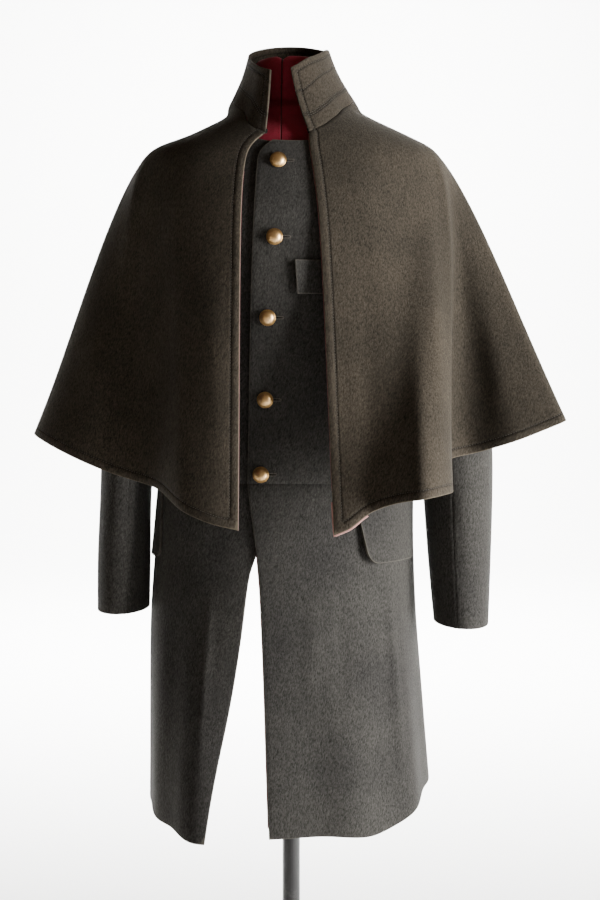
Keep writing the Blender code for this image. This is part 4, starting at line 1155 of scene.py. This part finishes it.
front = sheets["front_left"]
# Near-black wool as painted shade: it fills the buttonholes' slits and the gap behind the collar's seam,
# for the shade there.
painted_shade_wool = melton("near-black wool as painted shade", "0b0a09", "12100e", "1c1a17")
hole_inputs = {"Stitch step": HOLE_STEP, "Bead size": HOLE_BEAD, "Thread": linen}
for number, foot in enumerate(button_feet, 1):
    places, outs = onto_sheet(front, hole_loop(foot, HOLE_HALF))
    around = [(k, (k + 1) % len(places)) for k in range(len(places))]
    line = line_object("line", places, outs, around)
    hole = grown(f"buttonhole_{number}", line, stitching, hole_inputs)
    rim, rim_out = onto_sheet(front, hole_loop(foot, SLIT_HALF))
    middle, middle_out = rim.mean(axis=0), rim_out.mean(axis=0)
    count = len(rim)
    tops = [middle + middle_out * SLIT_TOP, middle - middle_out * SLIT_DEEP]
    lens = np.concatenate([rim + rim_out * SLIT_RAISED, tops])
    lens_faces = [(k, (k + 1) % count, count) for k in range(count)]
    lens_faces += [((k + 1) % count, k, count + 1) for k in range(count)]
    slit = plain_mesh(f"slit_{number}", lens, lens_faces)
    outward(slit)
    far_from_rims(slit.data)
    slit.data.materials.append(painted_shade_wool)
    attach(slit, "root")
    print(hole.name, len(hole.data.polygons), "triangles")

# %% [markdown]
# ## Turned edge of the lining
#
# Where the cape's front edge swings open, and along the skirt's slit, the lining's turned edge
# peeks out as a thin dusty pink roll. It follows the edge of the wool, a little behind it and a
# little past it. The rim of the sheet gives the path: each of its points is moved away from the
# middle of the quads beside it, which is straight off the edge, and back by the cloth's thickness.
# A second node group sweeps a small round profile along that path. It is pale only where the
# cape's corner curls up and is rubbed.
# %% Turned edge of the lining
def roll_tree():
    """Sweeps a round profile along a line."""
    inputs = {"Line": "NodeSocketGeometry", "Roll radius": "NodeSocketFloat"}
    inputs |= {"Cloth": "NodeSocketMaterial"}
    tree, given = new_tree("turned edge", inputs)
    curve = add(tree, "GeometryNodeMeshToCurve", {}, {"Mesh": given["Line"]})
    circle = {"Resolution": 8, "Radius": given["Roll radius"]}
    circle = add(tree, "GeometryNodeCurvePrimitiveCircle", {}, circle)
    swept = {"Curve": curve, "Profile Curve": circle, "Fill Caps": True}
    swept = add(tree, "GeometryNodeCurveToMesh", {}, swept)
    finish_tree(tree, swept, given["Cloth"])
    return tree


def rim_part(made, inside):
    """The points and pairs of a sheet's rim that lie inside something."""
    kept = [pair for pair in made.rim if inside[pair].all()]
    used, pairs = np.unique(np.array(kept), return_inverse=True)
    return used, pairs.reshape(-1, 2)


Roll = namedtuple("Roll", "node behind past radius rub low_x high_x low_z high_z")
# Seen from the front: a roll is drawn where its sheet's rim lies within these bounds, and is
# thickest in the middle of them.
ROLLS = [
    Roll("cape_left", 0.0026, 0.0005, 0.0016, 0.0008, 0.050, 0.100, 0.800, 0.868),
    Roll("cape_left", 0.0028, 0.0000, 0.0007, 0.0050, 0.000, 0.100, 0.866, 1.340),
    Roll("skirt_front_left", 0.0026, 0.0001, 0.0006, 0.0030, -0.060, -0.020, 0.432, 0.780),
]
rolling = roll_tree()
for number, roll in enumerate(ROLLS, 1):
    made = sheets[roll.node]
    off = off_edge(made.points, made.quads, made.normal)
    places = made.points + off * roll.past - made.normal * roll.behind
    x, y, z = made.points.T
    inside = (x > roll.low_x) & (x < roll.high_x) & (z > roll.low_z) & (z < roll.high_z) & (y < 0)
    used, pairs = rim_part(made, inside)
    along = (x[used] - roll.low_x) / (roll.high_x - roll.low_x)
    if roll.high_z - roll.low_z > roll.high_x - roll.low_x:
        along = (z[used] - roll.low_z) / (roll.high_z - roll.low_z)
    swell = 0.08 + 0.92 * np.sin(np.pi * np.clip(along, 0, 1))
    line = line_object("line", places[used], made.normal[used], pairs, swell)
    roll_inputs = {"Roll radius": roll.radius, "Cloth": lining_satin}
    piece = grown(f"lining_edge_{number}_{roll.node}", line, rolling, roll_inputs)
    store(piece.data, "from_edge", np.full(len(piece.data.vertices), roll.rub))
    outward(piece)
    print(piece.name, len(piece.data.polygons), "faces")

# %% [markdown]
# ## Seam allowance of the collar
#
# The collar is sewn to the cape, and the cut edge of its wool is turned in behind that seam. The
# same sweep in the near-black wool of painted shade stands for it, and closes the fine gap there.
# %% Seam allowance of the collar
ALLOWANCE_BEHIND, ALLOWANCE_RADIUS = 0.0024, 0.0017
ON_SEAM = 0.0008  # how near a rim point lies to the seam

made = sheets["collar"]
used, pairs = rim_part(made, made.from_seam < ON_SEAM)
turned_in = made.points[used] - made.normal[used] * ALLOWANCE_BEHIND
line = line_object("line", turned_in, made.normal[used], pairs)
allowance_inputs = {"Roll radius": ALLOWANCE_RADIUS, "Cloth": painted_shade_wool}
allowance = grown("collar_seam_allowance", line, rolling, allowance_inputs)
far_from_rims(allowance.data)
outward(allowance)
print(allowance.name, len(allowance.data.polygons), "faces")

# %% [markdown]
# ## The form's jersey
#
# A dress form is a hard padded shell under a tight cover of fine cotton jersey. The knit's upright
# ribs are 0.8 mm apart, and are drawn at 1.6 mm so that they show. The dye is a deep wine red, and
# the loose fibre ends of the cotton turn it pink where the light grazes, so it gets a low sheen.
# Both parts of the form know the distance round from the front seam, a near-black line of painted shade.
# %% The form's jersey
RIB_STEP = 0.0016
JERSEY_SEAM_HALF = 0.0009
LINT_WIDTH = 0.0022

form_jersey, tree, shader, place = new_material("fine cotton jersey")
known = {"attribute_name": "around"}
around = add(tree, "ShaderNodeAttribute", known, {}).outputs["Fac"]
turn = add(tree, "ShaderNodeMath", TIMES, {0: around, 1: 2 * math.pi / RIB_STEP})
ribs = add(tree, "ShaderNodeMath", {"operation": "SINE"}, {0: turn})
lint = {"Vector": place, "Scale": 1 / LINT_WIDTH, "Detail": 3.0}
fluff = add(tree, "ShaderNodeTexNoise", {}, lint)
seam = bell(tree, around, 0.0, JERSEY_SEAM_HALF)
tones = {0: fluff, 6: linear("68041a"), 7: linear("8e0d2d")}
tone = add(tree, "ShaderNodeMix", COLOUR_OVER, tones).outputs[2]
# Painted shade: the colour goes near black along the front seam, for the shade in its groove.
tones = {0: seam, 6: tone, 7: linear("1c0206")}
tone = add(tree, "ShaderNodeMix", COLOUR_OVER, tones).outputs[2]
bump = relief(tree, [(ribs, 0.00008), (fluff, 0.0003), (seam, -0.0008)])
feed(tree, shader, {"Base Color": tone, "Normal": bump, "Roughness": 0.85, "IOR": 1.5})
sheen = {"Sheen Weight": 0.12, "Sheen Roughness": 0.4, "Sheen Tint": linear("d0607c")}
feed(tree, shader, sheen)
print("made", form_jersey.name)

# %% [markdown]
# ## The form's neck
#
# The neck is the one part of the form that shows. It is a padded column with a rounded top, and
# the jersey's seam is pulled tight down its front, so the padding swells into two lobes beside it.
# The column is built in rings. The points are closest beside the seam, because the groove there is
# only a few millimetres wide, and a cubic spacing does this without more points elsewhere.
# %% The form's neck
NeckRing = namedtuple("NeckRing", "height radius middle_y groove")
NECK_TENTHS = [  # in tenths of a millimetre
    (13798, 508, 30, 12), (13900, 505, 24, 14), (14000, 501, 16, 15), (14100, 500, 10, 16),
    (14200, 497, -2, 18), (14280, 494, -12, 21), (14340, 488, -18, 25), (14380, 476, -20, 29),
    (14404, 455, -20, 32), (14416, 420, -20, 32), (14420, 360, -20, 26), (14420, 240, -20, 14),
    (14418, 100, -20, 5),
]
NECK_RINGS = [NeckRing(*(tenths / 1e4 for tenths in ring)) for ring in NECK_TENTHS]
NECK_CAP = [0.0, -0.002, 1.4417]  # the middle of its top
NECK_SEAM_TURN = -14  # degrees from the middle of the front
NECK_COLUMNS, EVEN_SHARE = 97, 0.14  # and how much of their spacing is even
GROOVE_HALF = 0.0016
LOBE_DROP, LOBE_HALF = 0.0035, 0.0055  # how far the top edge dips at the seam
LOBE_FROM, LOBE_OVER = 1.428, 0.012  # the height where the dip starts, and how soon it is full

spread = np.linspace(-1, 1, NECK_COLUMNS)[:-1]
from_seam = math.pi * (EVEN_SHARE * spread + (1 - EVEN_SHARE) * spread**3)
neck_points, neck_around = [], []
for ring in NECK_RINGS:
    arc = from_seam * ring.radius
    near = np.exp(-((arc / GROOVE_HALF) ** 2))
    radius = ring.radius - ring.groove * near
    turn = from_seam + math.radians(NECK_SEAM_TURN)
    top = np.clip((ring.height - LOBE_FROM) / LOBE_OVER, 0, 1)
    drop = LOBE_DROP * top * np.exp(-((arc / LOBE_HALF) ** 2))
    x, y = radius * np.sin(turn), ring.middle_y - radius * np.cos(turn)
    neck_points.append(np.stack([x, y, ring.height - drop], axis=-1))
    neck_around.append(arc)
columns = NECK_COLUMNS - 1
ends = [[0.0, NECK_RINGS[0].middle_y, NECK_RINGS[0].height], NECK_CAP]
neck_points = np.concatenate([*neck_points, ends])
neck_around = np.concatenate([*neck_around, [0.0, 0.0]])
neck_faces, last_ring = [], (len(NECK_RINGS) - 1) * columns
for j in range(columns):
    k = (j + 1) % columns
    for i in range(len(NECK_RINGS) - 1):
        low, high = i * columns, (i + 1) * columns
        neck_faces.append((low + j, low + k, high + k, high + j))
    neck_faces.append((k, j, len(neck_points) - 2))
    neck_faces.append((last_ring + j, last_ring + k, len(neck_points) - 1))
neck = plain_mesh("jersey_neck", neck_points, neck_faces)
outward(neck)
store(neck.data, "around", neck_around)
neck.data.materials.append(form_jersey)
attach(neck, "root")
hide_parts("form_neck")
print("the neck has", len(neck_faces), "faces")

# %% [markdown]
# ## The form's torso
#
# The torso only shows from below, so it keeps its solid's shape: a copy is welded, its triangles
# are paired into quads and smoothed, with its bottom rim held sharp.
# %% The form's torso
TORSO_AROUND = 0.12  # about how far its front lies from its axis
RIM_SHARPNESS, RIM_NEAR = 0.85, 0.0005  # and how near the lowest points are

torso_points, torso_faces = welded("form_torso")
torso = plain_mesh("jersey_torso", torso_points, torso_faces)
paired = bmesh.new()
paired.from_mesh(torso.data)
flat_enough = {"angle_face_threshold": math.radians(40), "angle_shape_threshold": math.radians(40)}
bmesh.ops.join_triangles(paired, faces=paired.faces, **flat_enough)
held = paired.edges.layers.float.new("crease_edge")
floor_of_form = torso_points[:, 2].min() + RIM_NEAR
for side in paired.edges:
    if all(corner.co.z < floor_of_form for corner in side.verts):
        side[held] = RIM_SHARPNESS
bmesh.ops.recalc_face_normals(paired, faces=paired.faces)
paired.to_mesh(torso.data)
paired.free()
torso.data.shade_smooth()
seam_x = NECK_RINGS[0].radius * math.sin(math.radians(NECK_SEAM_TURN))
places = coordinates(torso.data)
store(torso.data, "around", np.arctan2(places[:, 0] - seam_x, -places[:, 1]) * TORSO_AROUND)
smoothing = torso.modifiers.new("padding", "SUBSURF")
smoothing.levels = smoothing.render_levels = 2
torso.data.materials.append(form_jersey)
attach(torso, "root")
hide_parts("form_torso")
print("torso of", len(torso.data.polygons), "faces before smoothing")

# %% [markdown]
# ## The jersey over the chest
#
# In front the jersey is stretched over the step between neck and chest, and bridges it. Its height
# is read off the form on a grid, as a cloth would feel it, and evened out up and down. At its top
# and its sides it goes back into the form, and the coat hides its lower end.
# %% The jersey over the chest
BIB_LEFT, BIB_RIGHT, BIB_LOW, BIB_TOP = -0.052, 0.036, 1.312, 1.404
BIB_COLUMNS, BIB_ROWS = 36, 47
BIB_STRETCH = 5  # rows over which the jersey bridges the step
BIB_OFF = 0.0022
BIB_SINK, BIB_RUN_OUT = 0.0004, 0.012  # how deep its rim goes in, and over which width
BIB_THICKNESS = 0.0006
trees = [search_tree(*welded(name)) for name in ("form_torso", "form_neck")]
bib_x, bib_z = np.meshgrid(
    np.linspace(BIB_LEFT, BIB_RIGHT, BIB_COLUMNS), np.linspace(BIB_LOW, BIB_TOP, BIB_ROWS)
)
bib_y = np.zeros_like(bib_x)
for place in np.ndindex(bib_x.shape):
    eye = Vector((bib_x[place], -1.0, bib_z[place]))
    hits = [tree.ray_cast(eye, Vector((0, 1, 0)))[0] for tree in trees]
    below = bib_y[max(place[0] - 1, 0), place[1]]  # for a ray that slips between neck and torso
    bib_y[place] = min([hit.y for hit in hits if hit is not None], default=below)
bell_curve = np.exp(-((np.arange(-BIB_STRETCH, BIB_STRETCH + 1) / (BIB_STRETCH / 2)) ** 2))
padded = np.pad(bib_y, ((BIB_STRETCH, BIB_STRETCH), (0, 0)), mode="edge")
stretched = [np.convolve(column, bell_curve / bell_curve.sum(), "valid") for column in padded.T]
to_rim = np.minimum(np.minimum(bib_x - BIB_LEFT, BIB_RIGHT - bib_x), BIB_TOP - bib_z)
bib_y = np.array(stretched).T - BIB_OFF * np.clip(to_rim / BIB_RUN_OUT, 0, 1) + BIB_SINK
bib_points = np.stack([bib_x, bib_y, bib_z], axis=-1).reshape(-1, 3)
at = np.arange(len(bib_points)).reshape(bib_x.shape)
bib_faces = np.stack([at[:-1, :-1], at[:-1, 1:], at[1:, 1:], at[1:, :-1]], axis=-1).reshape(-1, 4)
bib = plain_mesh("jersey_over_chest", bib_points, bib_faces)
store(bib.data, "around", bib_points[:, 0] - seam_x)
bib.data.materials.append(form_jersey)
thicken(bib, BIB_THICKNESS)
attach(bib, "root")
print("the jersey over the chest has", len(bib_faces), "faces")

# %% [markdown]
# ## The enamelled stand
#
# The pole and the foot are turned steel with a baked black enamel. Their solids already have the
# right shape, so they only get a better finish: a fine orange-peel surface that is duller and
# greyer where it is scuffed.
# %% The enamelled stand
PEEL_WIDTH, SCUFF_WIDTH = 0.0015, 0.018

enamel, tree, shader, place = new_material("baked black enamel on steel")
peel = {"Vector": place, "Scale": 1 / PEEL_WIDTH, "Detail": 1.0}
peels = add(tree, "ShaderNodeTexNoise", {}, peel)
scuff = {"Vector": place, "Scale": 1 / SCUFF_WIDTH, "Detail": 6.0, "Roughness": 0.7}
scuffs = add(tree, "ShaderNodeTexNoise", {}, scuff)
worn = add(tree, "ShaderNodeMapRange", {}, {0: scuffs, 1: 0.56, 2: 0.74})
tones = {0: worn, 6: linear("151517"), 7: linear("3c3b3a")}
tone = add(tree, "ShaderNodeMix", COLOUR_OVER, tones).outputs[2]
dull = add(tree, "ShaderNodeMapRange", {}, {0: worn, 3: 0.30, 4: 0.62})
bump = relief(tree, [(peels, 0.00004)])
feed(tree, shader, {"Base Color": tone, "Normal": bump, "Roughness": dull, "IOR": 1.5})
for name in ("stand_pole", "stand_foot"):
    for slot in nodes[name].material_slots:
        slot.material = enamel
print("the pole and the foot are enamelled")
